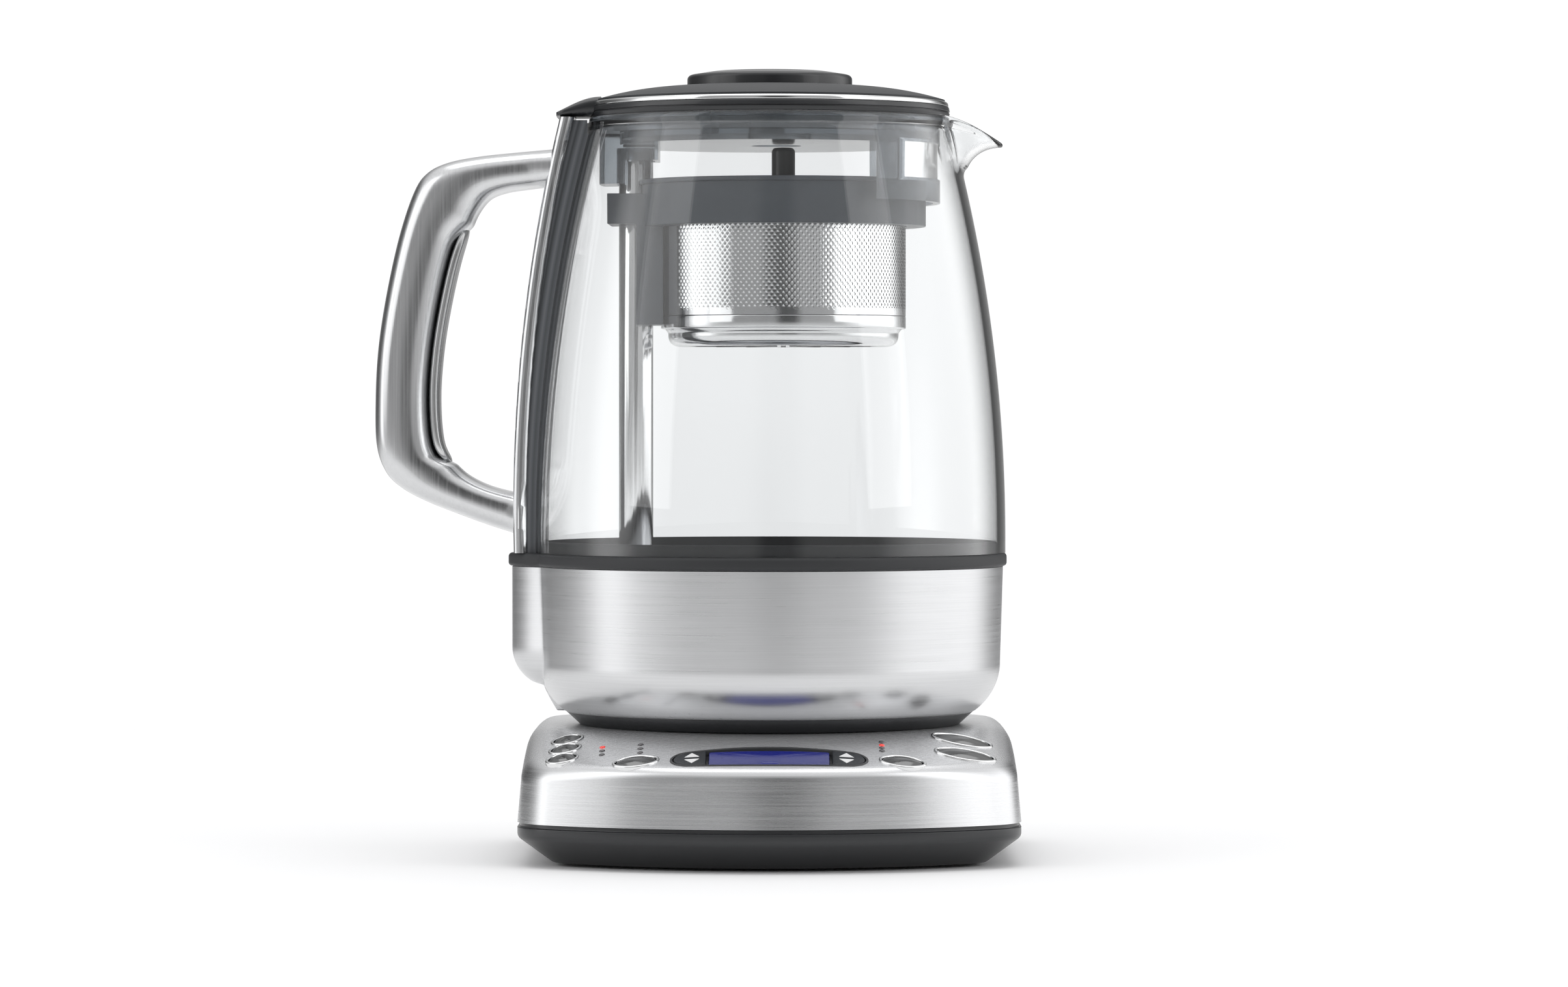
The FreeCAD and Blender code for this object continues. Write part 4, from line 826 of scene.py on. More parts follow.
def cut_wells(piece):
    """Cuts the wells of the buttons, the display and the lights out of the shell."""
    base = settings("base")
    ring = mm(base.cap_gap) + mm(base.surround) - 0.1
    depth = [(0, -6, 0.0), (0, -6), (0, 3), (0, 3, 0.0)]
    cutter = stack(display_outline(-0.1), depth).through(over_panel(*display_middle()))
    for name in BUTTONS:
        cutter += stack(button_outline(name, ring), depth).through(on_panel(*button_place(name)))
    for x, y, _ in light_places():
        cutter += stack(circle(0.99, 16), depth).through(on_panel(x, y))
    tool = build("well_cutter", cutter, "black_plastic", None)
    change = piece.modifiers.new("wells", "BOOLEAN")
    change.operation = "DIFFERENCE"
    change.solver = "EXACT"
    change.object = tool
    graph = bpy.context.evaluated_depsgraph_get()
    cut = bpy.data.meshes.new_from_object(piece.evaluated_get(graph))
    piece.modifiers.clear()
    piece.data = cut
    cut.name = piece.name
    cut.set_sharp_from_angle(angle=math.radians(SHARP))
    bpy.data.objects.remove(tool)


def base_shell():
    """The brushed steel cover of the base, closed over its wall, with the panel's wells."""
    wall = mm(settings("base").wall)
    outside = shell_rings(0.0, 0.0)
    inside = shell_rings(wall, wall)[::-1]
    shape = net(np.concatenate([outside, inside]), wrap_rows=True)
    piece = build("base_shell", shape, "brushed_steel", "root", "base_top_shell")
    cut_wells(piece)


def lower_housing():
    """The black foot of the base: upright at its rim, then tapering in to a rounded floor."""
    points, normals = base_plan()
    node = NodeBox("base_lower_housing")
    shell = NodeBox("base_top_shell")
    side_top = shell.bottom - 1.4
    profile = rounded(
        [(0.9, shell.bottom + 3), (0.9, side_top, 0.4), (0.0, side_top - 0.05, 0.2),
         (0.0, 9.3, 2.5), (11.4, node.bottom, 2.2), (24, node.bottom)],
        steps=7,
    )
    rings = [
        np.column_stack([points - normals * inset, np.full(len(points), height)])
        for inset, height in profile
    ]
    middle = points.mean(0)
    floor = rings[-1].copy()
    floor[:, :2] = middle
    under = [rings[-1] * [1 - part, 1 - part, 1] + floor * [part, part, 0]
             for part in (0.4, 0.8, 1.0)]
    lid = rings[0].copy()
    lid[:, :2] = middle
    shape = net(np.stack([lid, *rings, *under]))
    build("lower_housing", shape, "black_plastic", "root", "base_lower_housing")


def button_caps():
    """Each button's crowned cap over its skirt."""
    base = settings("base")
    crown = mm(base.dome)
    bend = np.linspace(0.0, 1.0, 9)[1:]
    for name in BUTTONS:
        outline = button_outline(name)
        dome = [(0.35, 0.25 + crown * (1 - (1 - part) ** 2.2), 1 - part) for part in bend]
        levels = [(0, -3.2, 0.0), (0, -3.2), (0, -0.1), (0.08, 0.1), (0.35, 0.25), *dome]
        shape = stack(outline, levels).through(on_panel(*button_place(name)))
        build(name + "_cap", shape, "dark_chrome", name, name, sharp=60)


def button_rings():
    """The bright rounded rings round the buttons, each with a dark well under its cap."""
    base = settings("base")
    gap, width = mm(base.cap_gap), mm(base.surround)
    turn = np.linspace(0, math.pi, 9)
    rings, wells = [], []
    for name in BUTTONS:
        place = on_panel(*button_place(name))
        bead = [(-gap - width / 2 - width / 2 * math.cos(a), 0.1 + 0.42 * math.sin(a))
                for a in turn]
        levels = [(-gap - width, -2.4), *bead, (-gap, -2.4)]
        grown = button_outline(name)
        shape = net(stack(grown, levels).points.reshape(len(levels), -1, 3), wrap_rows=True)
        rings.append(shape.through(place))
        wells.append(stack(grown, [(-gap - 0.2, -2.6, 0.0), (-gap - 0.2, -2.6),
                                   (-gap - 0.2, -2.3), (-gap - 0.2, -2.3, 0.0)]).through(place))
    build("button_rings", joined(rings), "polished_steel", "root", "button_surrounds")
    build("button_wells", joined(wells), "black_plastic", "root")


def joined(shapes):
    """Several shapes as one."""
    whole = shapes[0]
    for shape in shapes[1:]:
        whole = whole + shape
    return whole


def half_height(outline, x):
    """Half the height of an upright-symmetric outline at an x."""
    points = outline[0][outline[0][:, 1] >= 0]
    order = np.argsort(points[:, 0])
    return np.interp(x, points[order, 0], points[order, 1])


def clipped(outline, near, far):
    """An outline cut off at two upright lines, x at the near one and the far one."""
    points, normals = outline
    height = half_height(outline, near)
    clip_x = np.clip(points[:, 0], min(near, far), max(near, far))
    clip_y = np.where(clip_x != points[:, 0], np.sign(points[:, 1]) * height, points[:, 1])
    return np.column_stack([clip_x, clip_y]), normals


def centred_stack(outline, levels):
    """Rings over an outline that isn't about the origin, scaled about its own middle."""
    points, normals = outline
    middle = (points.max(0) + points.min(0)) / 2
    return stack((points - middle, normals), levels).through(
        lambda where: where + np.array([*middle, 0])
    )


def display_unit():
    """The display oval: black bezel with a floor, lit window and two keys."""
    place = over_panel(*display_middle())
    rim = 0.9
    turn = np.linspace(0, math.pi, 7)
    bead = [(rim / 2 - rim / 2 * math.cos(a), 0.12 + 0.2 * math.sin(a)) for a in turn]
    levels = [(0, -2.6, 0.0), (0, -2.6), *bead, (rim, -1.5), (rim, -1.5, 0.0)]
    bezel = stack(display_outline(), levels).through(place)
    build("display_frame", bezel, "black_plastic", "root", "display_bezel")
    window = NodeBox("display_window")
    half = (window.right - window.left) / 2
    inner = display_outline(-rim - 0.15)
    height = half_height(inner, half)
    pane = rounded([(-half, -height, 0.6), (half, -height, 0.6), (half, height, 0.6),
                    (-half, height, 0.6)], closed=True, steps=4)
    pane = refined(pane, 0.9)
    outward = pane / np.linalg.norm(pane, axis=1)[:, None]
    panes = stack((pane, outward), [(0, -1.4, 0.0), (0, -1.4), (0, -0.55), (0.15, -0.4),
                                    (0.15, -0.4, 0.5), (0.15, -0.4, 0.0)]).through(place)
    build("display_pane", panes, "blue_window", "root", "display_window")
    for side, name in ((-1, "temperature_rocker"), (1, "time_rocker")):
        near = side * (half + 1.0)
        far = side * (NodeBox("display_bezel").right + 1)
        key = clipped(display_outline(-rim - 0.3), near, far)
        shape = centred_stack(key, [(0, -0.8, 0.0), (0, -0.8), (0, 0.0), (0.1, 0.2),
                                    (0.35, 0.3), (0.35, 0.3, 0.66), (0.35, 0.3, 0.33),
                                    (0.35, 0.3, 0.0)]).through(place)
        build(name + "_key", shape, "key_plastic", name, name, sharp=50)
        marks = []
        for up in (-1, 1):
            corners = np.array([(-2.3, 0.7 * up), (2.3, 0.7 * up), (0, 4.2 * up)])
            corners = refined(corners, 0.5) + [side * (half + 5.4), 0.35 * up]
            middle = corners.mean(0)
            flat = (corners - middle, unit_rows(corners - middle))
            mark = stack(flat, [(0, 0.2, 0.0), (0, 0.2), (0, 0.44), (0, 0.44, 0.5),
                                (0, 0.44, 0.0)])
            marks.append(mark.through(lambda where, at=middle: where + np.array([*at, 0])))
        build(name + "_marks", joined(marks).through(place), "white_print", name)


def unit_rows(vectors):
    """Each row of an array scaled to length one."""
    return vectors / np.linalg.norm(vectors, axis=1)[:, None]


def refined(corners, step):
    """A closed line with points added along each side, about one step apart."""
    nexts = np.roll(corners, -1, axis=0)
    runs = []
    for start, stop in zip(corners, nexts):
        count = max(1, int(np.linalg.norm(stop - start) / step))
        part = np.linspace(0, 1, count, endpoint=False)[:, None]
        runs.append(start * (1 - part) + stop * part)
    return np.vstack(runs)


def panel_lights():
    """The small lights of the panel: two are lit."""
    groups = {"red_light": [], "dark_light": []}
    for x, y, lit in light_places():
        levels = [(0, -2, 0.0), (0, -2), (0, 0.08), (0.12, 0.3), (0.12, 0.42, 0.6),
                  (0.12, 0.45, 0.0)]
        shape = stack(circle(0.95, 20), levels).through(on_panel(x, y))
        groups["red_light" if lit else "dark_light"].append(shape)
    build("lit_lights", joined(groups["red_light"]), "red_light", "root", "indicator_lights",
          sharp=70)
    build("unlit_lights", joined(groups["dark_light"]), "dark_light", "root", sharp=70)


# ---------------------------------------------------------------- jug


def with_nose(radius, nose_radius, turn):
    """Distance from the jug's axis to the plan of its foot in each direction: the larger of
    the round part and the nose, with a hollow blended into the corner between them. The nose
    is a round end on the far side and straight flanks towards the axis."""
    jug = settings("jug")
    place = mm(jug.nose_place)
    size = mm(jug.nose_blend)
    off = np.abs(turn - math.pi)
    sine = np.sin(off)
    root = np.maximum(nose_radius**2 - (place * sine) ** 2, 0)
    end = place * np.cos(off) + np.sqrt(root)
    flank = nose_radius / np.maximum(sine, 1e-3)
    on_end = off < np.arctan(nose_radius / place)
    nose = np.where(off > math.pi / 2, 0, np.where(on_end, end, flank))
    overlap = np.maximum(size - np.abs(radius - nose), 0) / size
    return np.maximum(radius, nose) + overlap**2 * size / 4


def nose_turns(steps=360):
    """Directions round the jug, closer together near the nose."""
    part = np.linspace(-1, 1, steps, endpoint=False)
    return math.pi + math.pi * (0.35 * part + 0.65 * part * np.abs(part))


def jug_base():
    """The jug's brushed steel foot: a bend at the bottom, then a nearly upright side, and a
    nose that carries the handle. Each level is a plan from with_nose."""
    node = NodeBox("jug_base_shell")
    turn = nose_turns()
    bottom, top = node.bottom, node.top
    low_radius, bend_radius, bend_top, bend = 67.4, 76.0, 63.0, 20.8
    height = np.concatenate([
        [bottom], bottom + 0.4 + (bend_top - bottom - 0.4) * np.linspace(0, 1, 26),
        np.linspace(bend_top, top - 0.3, 24)[1:], [top],
    ])
    centre_x = bend_radius - bend
    below = np.maximum(bend_top - height, 0)
    round_part = centre_x + np.sqrt(np.maximum(bend**2 - below**2, 0))
    scale = (bend_radius - low_radius) / (bend_radius - round_part[0])
    round_part = bend_radius - (bend_radius - round_part) * scale
    radius = round_part + side_lean(height, bend_top, top, node.back - bend_radius)
    nose_bottom, nose_bend, nose_full = 56.0, 12.0, -node.left - mm(settings("jug").nose_place)
    below = np.clip(nose_bottom + nose_bend - height, 0, nose_bend)
    nose = nose_full - nose_bend + np.sqrt(np.maximum(nose_bend**2 - below**2, 0))
    nose = np.where(height < nose_bottom, 0.5, nose)
    edge = np.zeros(len(height))
    edge[0] = edge[-1] = 0.3
    rings = []
    for wall in (0.0, 0.9):
        reach = with_nose((radius - wall - edge)[:, None],
                          np.maximum(nose - wall - edge, 0.3)[:, None], turn[None])
        rings.append(np.stack([reach * np.cos(turn), reach * np.sin(turn),
                               height[:, None] + 0 * turn], axis=-1))
    shape = net(np.concatenate([rings[0], rings[1][::-1]]), wrap_rows=True)
    build("jug_steel_foot", shape, "foot_steel", "jug", "jug_base_shell")


def side_lean(height, start, end, gain):
    """What the side gains in radius from one height to another."""
    return gain * np.clip((height - start) / (end - start), 0, 1)


def seal_ring():
    """The black ring between steel and glass, with rounded edges and a lip inside the glass."""
    node = NodeBox("glass_seal_ring")
    turn = nose_turns()
    flange_top = NodeBox("handle_spine").bottom
    bore, lip = 73.2, 75.1
    outer = rounded([(-4, node.bottom), (0, node.bottom, 1.1), (0, flange_top, 1.3),
                     (-3, flange_top)], steps=6)[1:-1]
    nose = -node.left - mm(settings("jug").nose_place)
    rings = []
    for inset, height in outer:
        reach = with_nose(node.radius + inset, nose + inset, turn)
        rings.append(np.column_stack([reach * np.cos(turn), reach * np.sin(turn),
                                      np.full(len(turn), height)]))
    for radius, height in ((lip, flange_top), (lip, node.top - 0.5), (lip - 0.5, node.top),
                           (bore, node.top), (bore, node.bottom)):
        rings.append(np.column_stack([radius * np.cos(turn), radius * np.sin(turn),
                                      np.full(len(turn), height)]))
    build("glass_seal", net(np.stack(rings), wrap_rows=True), "black_rubber", "jug",
          "glass_seal_ring")


def glass_radius(height):
    """Outer radius of the glass: straight at its foot, then one long arc inwards."""
    node = NodeBox("glass_jug")
    curve = mm(settings("jug").glass_curve)
    rise = np.maximum(height - CURVE_FOOT, 0)
    return node.radius - curve + np.sqrt(curve**2 - rise**2)


def glass_body():
    """The glass with its moulded spout. At angle a and level u the outside is the round body,
    drawn towards the spout's own outline by a hump of a that is one on the spout's middle and
    nought past its half width. The inside is the outside moved in along its normals, and the
    rim between them is a rolled bead."""
    jug = settings("jug")
    node = NodeBox("glass_jug")
    wall, bead = mm(jug.glass_wall), mm(jug.bead)
    half = mm(jug.spout_half)
    rim_radius = 60.9
    spread = np.linspace(-1, 1, 240, endpoint=False)
    turn = math.pi * (0.45 * spread + 0.55 * spread * np.abs(spread))
    low, top = node.bottom, node.top - wall / 2 - bead / 2
    start, spout_top = 222.5, 232.6
    level = np.concatenate([np.linspace(low, start, 46)[:-1], np.linspace(start, top, 26)])
    part = np.clip((level - start) / (top - start), 0, 1)[:, None]
    across = rim_radius * np.sin(turn) / half
    hump = np.where(np.abs(turn) < math.pi / 2, np.clip(1 - across**2, 0, 1) ** 2, 0)[None]
    body = glass_radius(level)[:, None]
    spout_reach = node.right - wall / 2 - 0.4
    root = body[level.searchsorted(start) - 1]
    reach = root + (spout_reach - root) * (1 - np.cos(math.pi / 2 * part))
    rise = start + (spout_top - start) * np.sin(math.pi / 2 * part) ** 0.95
    mixed = hump * np.clip(part**1.15 * 6, 0, 1)
    radius = body * (1 - mixed) + reach * mixed
    drop = hump**1.35 * np.clip(part * 6, 0, 1)
    height = level[:, None] * (1 - drop) + rise * drop
    outside = np.stack([radius * np.cos(turn), radius * np.sin(turn), height + 0 * turn], -1)
    along = np.gradient(outside, axis=0)
    around = (np.roll(outside, -1, axis=1) - np.roll(outside, 1, axis=1)) / 2
    normal = np.cross(around, along)
    normal /= np.linalg.norm(normal, axis=-1)[..., None]
    swell = bead * smooth_step(level, top - 3, top)[:, None, None] * (1 - hump[..., None])
    thick = (wall + swell) * (1 - 0.4 * hump[..., None] * part[..., None] ** 2)
    bulge = 0.35 * swell
    outside = outside + normal * bulge
    inside = outside - normal * thick
    upward = along[-1] / np.linalg.norm(along[-1], axis=-1)[:, None]
    centre = (outside[-1] + inside[-1]) / 2
    spoke = outside[-1] - centre
    size = np.linalg.norm(spoke, axis=-1)[:, None]
    bend = np.linspace(0, math.pi, 9)[1:-1]
    rim = np.stack([centre + spoke * math.cos(a) + upward * size * math.sin(a) for a in bend])
    shape = net(np.concatenate([outside, rim, inside[::-1]]), wrap_rows=True)
    piece = build("glass_body", shape, "clear_glass", "jug", "glass_jug", sharp=80)
    piece.visible_shadow = False


HANDLE_OUTER = (
    (-71.5, 232.0), (-84.0, 230.9), (-96.0, 229.6), (-106.0, 227.6), (-112.8, 224.2),
    (-117.2, 218.0), (-122.1, 203.4), (-126.4, 184.0), (-129.1, 166.0), (-130.0, 149.0),
    (-129.6, 134.5), (-126.6, 125.8), (-121.5, 120.6), (-113.5, 116.2), (-102.5, 111.8),
    (-92.0, 108.0), (-81.2, 104.6),
)
HANDLE_INNER = (
    (-71.5, 219.8), (-79.5, 218.8), (-86.5, 217.7), (-91.8, 215.6), (-95.4, 211.4),
    (-98.0, 205.8), (-101.8, 195.0), (-105.2, 180.0), (-107.6, 165.0), (-108.6, 150.0),
    (-107.6, 136.4), (-104.6, 130.2), (-101.0, 126.2), (-97.2, 123.6), (-92.4, 121.4),
    (-87.0, 119.8), (-81.2, 118.6),
)


def rounded_bar(outer, inner, half_width, squareness, name, finish, node):
    """A bar between two lines of its middle plane. At station s and angle a a point is the
    middle, plus half the depth times the signed power of cos a, plus the half width times the
    signed power of sin a across the hand."""
    middle, spoke = (outer + inner) / 2, (outer - inner) / 2
    angle = np.linspace(0, FULL_TURN, 56, endpoint=False)
    power = 2 / squareness
    deep = np.sign(np.cos(angle)) * np.abs(np.cos(angle)) ** power
    wide = np.sign(np.sin(angle)) * np.abs(np.sin(angle)) ** power
    width = np.broadcast_to(np.asarray(half_width, float), (len(outer),))[:, None]
    points = np.stack([middle[:, :1] + spoke[:, :1] * deep, width * wide,
                       middle[:, 1:] + spoke[:, 1:] * deep], axis=-1)
    build(name, closed_tube(points), finish, "jug", node, sharp=50)


def handle():
    """The steel grip with its polished inner strip."""
    jug = settings("jug")
    count = 181
    outer, inner = spline(HANDLE_OUTER, count), spline(HANDLE_INNER, count)
    station = np.linspace(0, 1, count)
    grip = smooth_step(station, 0.3, 0.36) * (1 - smooth_step(station, 0.66, 0.72))
    toward = unit_rows(outer - inner)
    strip = mm(jug.strip)
    shell_inner = inner + toward * (grip * (strip - 0.4))[:, None]
    half = mm(jug.handle_width) / 2
    flare = 1 + 0.1 * (smooth_step(-station, -0.05, 0) + smooth_step(station, 0.96, 1))
    rounded_bar(outer, shell_inner, half * flare, 3.0, "handle_grip", "handle_steel",
                "handle_shell")
    chosen = (station > 0.31) & (station < 0.71)
    low, high = inner[chosen], (inner + toward * strip)[chosen]
    ends = np.sqrt(np.clip(1 - np.abs(np.linspace(-1, 1, chosen.sum())) ** 8, 0.02, 1))
    middle = (low + high) / 2
    low, high = middle + (low - middle) * ends[:, None], middle + (high - middle) * ends[:, None]
    rounded_bar(high, low, half * 0.8 * ends, 3.6, "handle_strip", "strip_steel",
                "handle_insert")


# ---------------------------------------------------------------- basket


def perforated_tube():
    """The basket's wall: a sheet of diamond cells in staggered rows, each with a round hole,
    rolled round the basket's axis, between two plain bands. A plain strip faces the bracket. A
    cell is a ring of eight faces from its diamond to its hole, whose size is nought where the
    wall is plain. Its inner face has a darker copy of the steel finish: painted shade inside the
    basket."""
    basket = settings("basket")
    node = NodeBox("basket_mesh")
    low = NodeBox("basket_band").top + mm(basket.blank)
    ring_reach = 36.0
    high = NodeBox("basket_ring").bottom + ring_reach
    radius = node.radius - 0.02
    columns = round(FULL_TURN * radius / mm(basket.pitch))
    step = FULL_TURN * radius / columns
    rows = int((min(high, node.top - 1.5) - low) / mm(basket.row)) // 2 * 2
    half = np.array([step / 2, mm(basket.row)])
    corner = np.arange(8) * math.pi / 4
    spoke = np.column_stack([np.cos(corner), np.sin(corner)])
    diamond = spoke / np.abs(spoke).sum(1)[:, None] * half
    row, column = np.meshgrid(np.arange(rows), np.arange(columns), indexing="ij")
    middle = np.stack([(column + 0.5 * (row % 2)) * step, low + (row + 1) * mm(basket.row)],
                      axis=-1).reshape(-1, 2)
    away = np.abs((middle[:, 0] / radius) % FULL_TURN - math.pi) * radius
    pierced = away > mm(basket.plain_strip)
    hole = spoke * mm(basket.hole) * pierced[:, None, None]
    flat = np.concatenate([middle[:, None] + diamond, middle[:, None] + hole], axis=1)
    index = np.arange(8)
    after = (index + 1) % 8
    start = np.arange(len(middle))[:, None] * 16
    ring = np.stack([start + index, start + after, start + 8 + after, start + 8 + index], axis=-1)
    flat = flat.reshape(-1, 2)
    edge = ring[pierced].reshape(-1, 4)
    total = len(flat)
    walls = np.column_stack([edge[:, 3], edge[:, 2], edge[:, 2] + total, edge[:, 3] + total])
    faces = np.vstack([ring.reshape(-1, 4), ring.reshape(-1, 4) + total, walls])
    inner = radius - mm(basket.wall)
    cells = Shape(np.vstack([rolled(flat, radius, node.x), rolled(flat, inner, node.x)]), faces)
    row_top = low + (rows + 1) * mm(basket.row)
    bands = [
        turned([(inner, bottom), (radius, bottom), (radius, top), (inner, top)], x=node.x,
               closed=True)
        for bottom, top in ((node.bottom, low + mm(basket.row)),
                            (row_top - mm(basket.row), node.top))
    ]
    piece = build("basket_wall", joined([cells, *bands]), "polished_steel", "basket",
                  "basket_mesh", sharp=50)
    # the inner faces take the darker steel, painted shade inside the basket
    piece.data.materials.append(FINISH["basket_inside"])
    count = len(piece.data.polygons)
    centre, normal = np.empty(count * 3), np.empty(count * 3)
    piece.data.polygons.foreach_get("center", centre)
    piece.data.polygons.foreach_get("normal", normal)
    spoke = centre.reshape(-1, 3)[:, :2] - [node.x * MM, 0]
    facing = (spoke * normal.reshape(-1, 3)[:, :2]).sum(1)
    inside = facing < 0.4 * np.linalg.norm(spoke, axis=1)
    piece.data.polygons.foreach_set("material_index", inside.astype(np.int32))


def rolled(flat, radius, x):
    """A flat pattern rolled round an upright axis: its first coordinate is an arc length."""
    turn = flat[:, 0] / radius
    return np.column_stack([x + radius * np.cos(turn), radius * np.sin(turn), flat[:, 1]])


def basket_floor():
    """The drawn steel cap under the basket with its rolled edge and its radial slots, and the
    band that grips the wall to it."""
    cap = NodeBox("basket_base")
    band = NodeBox("basket_band")
    profile = rounded(
        [(band.radius - 1.2, band.bottom, 0.3), (band.radius, band.bottom, 0.5),
         (band.radius, band.top, 0.5), (band.radius - 1.2, band.top, 0.3)],
        closed=True, steps=4,
    )
    build("basket_rim_band", turned(profile, x=band.x, closed=True), "polished_steel", "basket",
          "basket_band")
    low, radius, wall = cap.bottom, cap.radius, 1.2
    outside = rounded([(0, low + 0.5), (radius - 8, low + 0.5, 1.2), (radius - 6.6, low, 0.8),
                       (radius, low, 3.4), (radius, band.bottom - 1.4, 1.2),
                       (radius + 1.2, band.bottom + 0.2), (radius + 1.2, band.top - 1)], steps=7)
    inside = (outside - [wall, 0])[::-1] + [0, wall]
    inside = inside[inside[:, 0] > 0.5]
    whole = np.vstack([outside, inside, [[0, low + 0.5 + wall]]])
    build("basket_cap", turned(whole, x=cap.x), "polished_steel", "basket", "basket_base")
    count, slot_place = 16, 19
    levels = [(0, -0.35, 0.0), (0, -0.35), (0, 0.2), (0, 0.2, 0.0)]
    slot = stack(oval(12.5, 0.85, 0.8, steps=5), levels)
    marks = []
    for turn in np.arange(count) * FULL_TURN / count:

        def lay(where, c=math.cos(turn), s=math.sin(turn)):
            along = where[:, 0] + slot_place
            return np.column_stack([cap.x + c * along - s * where[:, 1],
                                    s * along + c * where[:, 1], where[:, 2] + low + 0.4])

        marks.append(slot.through(lay))
    build("basket_slots", joined(marks), "black_plastic", "basket")


def bevelled(name, finish, width):
    """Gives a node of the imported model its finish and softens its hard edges."""
    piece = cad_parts[name]
    piece.data.materials.clear()
    piece.data.materials.append(FINISH[finish])
    if width:
        weld = piece.modifiers.new("weld", "WELD")
        weld.merge_threshold = 0.002 * MM
        soft = piece.modifiers.new("soft_edges", "BEVEL")
        soft.width = width * MM
        soft.segments = 3
        soft.limit_method = "ANGLE"
        soft.angle_limit = math.radians(40)
        soft.harden_normals = True


# ---------------------------------------------------------------- lid


def lid_round_pieces():
    """The knob, the crown, the steel trim and the black rim of the lid."""
    knob = NodeBox("lid_knob")
    top = NodeBox("lid_top")
    trim = NodeBox("lid_steel_ring")
    rim = NodeBox("lid_rim")
    reach, bore = top.radius + 0.4, 50.2
    crown = [(knob.radius + (trim.radius - 1.2 - knob.radius) * part,
              top.top - (top.top - trim.top - 0.3) * part**2.1)
             for part in np.linspace(0, 1, 20)]
    knob_side = rounded([(0, knob.bottom - 0.4), (knob.radius, knob.bottom - 0.4),
                         (knob.radius, knob.top - 1.3, 1.6), (knob.radius - 8, knob.top, 12),
                         (0, knob.top)], steps=9)
    build("lid_knob_disc", turned(knob_side), "black_plastic", "lid", "lid_knob")
    crown_shape = [(0, trim.top - 0.2), (trim.radius - 1.2, trim.top - 0.2), *crown[::-1],
                   (0, top.top)]
    build("lid_crown", turned(crown_shape), "crown_plastic", "lid", "lid_top")
    band = rounded([(trim.radius - 4, trim.bottom), (trim.radius, trim.bottom, 0.4),
                    (trim.radius - 0.2, trim.top - 0.5, 0.9), (trim.radius - 3, trim.top + 0.25),
                    (trim.radius - 4, trim.top - 0.3)], closed=True, steps=6)
    build("lid_trim", turned(band, closed=True), "polished_steel", "lid", "lid_steel_ring")
    seam = (rim.bottom + trim.bottom) / 2 + 0.2
    skirt = rounded([
        (bore, rim.bottom), (reach - 0.6, rim.bottom, 0.5), (reach, seam - 0.25, 0.2),
        (reach - 0.6, seam - 0.12), (reach - 0.6, seam + 0.12), (reach, seam + 0.25, 0.2),
        (reach - 0.3, trim.bottom - 0.02, 0.3), (bore, trim.bottom - 0.02),
    ], closed=True, steps=4)
    ring = turned(skirt, closed=True)
    build("lid_rim_ring", ring + lid_tail(), "black_plastic", "lid", "lid_rim")


def lid_tail():
    """The black tail over the handle's spine: a wedge that rises towards the crown. Its
    section at each station is a rounded bar that grows with the distance from its tip."""
    rim = NodeBox("lid_rim")
    half, root, low, high = 14.0, -55.5, 242.4, 249.2
    part = np.linspace(0, 1, 22)
    across = np.linspace(0, FULL_TURN, 48, endpoint=False)
    x = rim.left + (root - rim.left) * part
    tip = 244.0
    top = tip + (high - tip) * np.sin(part * math.pi / 2) ** 1.1
    wide = half * (0.86 + 0.14 * np.sqrt(np.clip(part * 6, 0, 1)))
    deep = np.sign(np.sin(across)) * np.abs(np.sin(across)) ** 0.5
    side = np.sign(np.cos(across)) * np.abs(np.cos(across)) ** 0.5
    points = np.stack([x[:, None] + 0 * across, wide[:, None] * side,
                       ((top + low) / 2)[:, None] + ((top - low) / 2)[:, None] * deep], axis=-1)
    return closed_tube(points)


# ---------------------------------------------------------------- stage


# Brightness of what polished pieces mirror, from the rear round by the handle's side to the
# front at one half, and on by the spout's side to the rear again.
STUDIO_STRIPS = (
    (0.0, 0.8), (0.04, 0.3), (0.1, 0.08), (0.17, 0.16), (0.215, 0.5), (0.25, 1.9), (0.275, 1.9),
    (0.31, 0.6), (0.35, 0.3), (0.475, 0.36), (0.495, 0.06), (0.53, 0.06), (0.55, 0.38),
    (0.65, 0.42), (0.71, 1.5), (0.84, 1.7), (0.88, 0.4), (0.92, 0.06), (0.97, 0.25), (1.0, 0.8),
)


def world_light():
    """Pale surroundings for the eye and through glass, and for anything mirrored a soft
    studio: bright to both sides, dark beside the far direction, half bright to the front."""
    world = bpy.data.worlds.new("studio")
    bpy.context.scene.world = world
    world.use_nodes = True
    sky = Nodes(world.node_tree)
    background = world.node_tree.nodes["Background"]
    direction = sky.add("TexCoord", output=0)
    axes = [sky.add("SeparateXYZ", inputs={0: direction}, output=axis) for axis in range(3)]
    around = sky.add("Math", {"operation": "ARCTAN2"}, {0: axes[0], 1: 0.0 - axes[1]})
    turn = around / FULL_TURN + 0.5
    strips = sky.add("ValToRGB", {"stops": STUDIO_STRIPS}, {0: turn})
    overhead = sky.add(
        "MapRange", {"interpolation_type": "SMOOTHSTEP"}, {0: axes[2], 1: 0.25, 2: 0.8}
    )
    studio = sky.mix(overhead, strips, (0.95, 0.95, 0.95))
    below = sky.add("MapRange", inputs={0: axes[2], 1: -0.02, 2: -0.2})
    studio = sky.mix(below, studio, (0.85, 0.85, 0.85))
    camera = sky.add("LightPath", output="Is Camera Ray")
    through = sky.add("LightPath", output="Is Transmission Ray")
    mirrored = sky.add("LightPath", output="Glossy Depth")
    glossy = sky.add("Math", {"operation": "MINIMUM"}, {0: mirrored, 1: 1.0})
    pale = (1.03, 1.03, 1.035)
    plain = sky.mix(through, (0.9, 0.9, 0.91), (0.95, 0.955, 0.96))
    clear = sky.mix(glossy, plain, studio)
    sky.connect(sky.mix(camera, clear, pale), background.inputs["Color"])


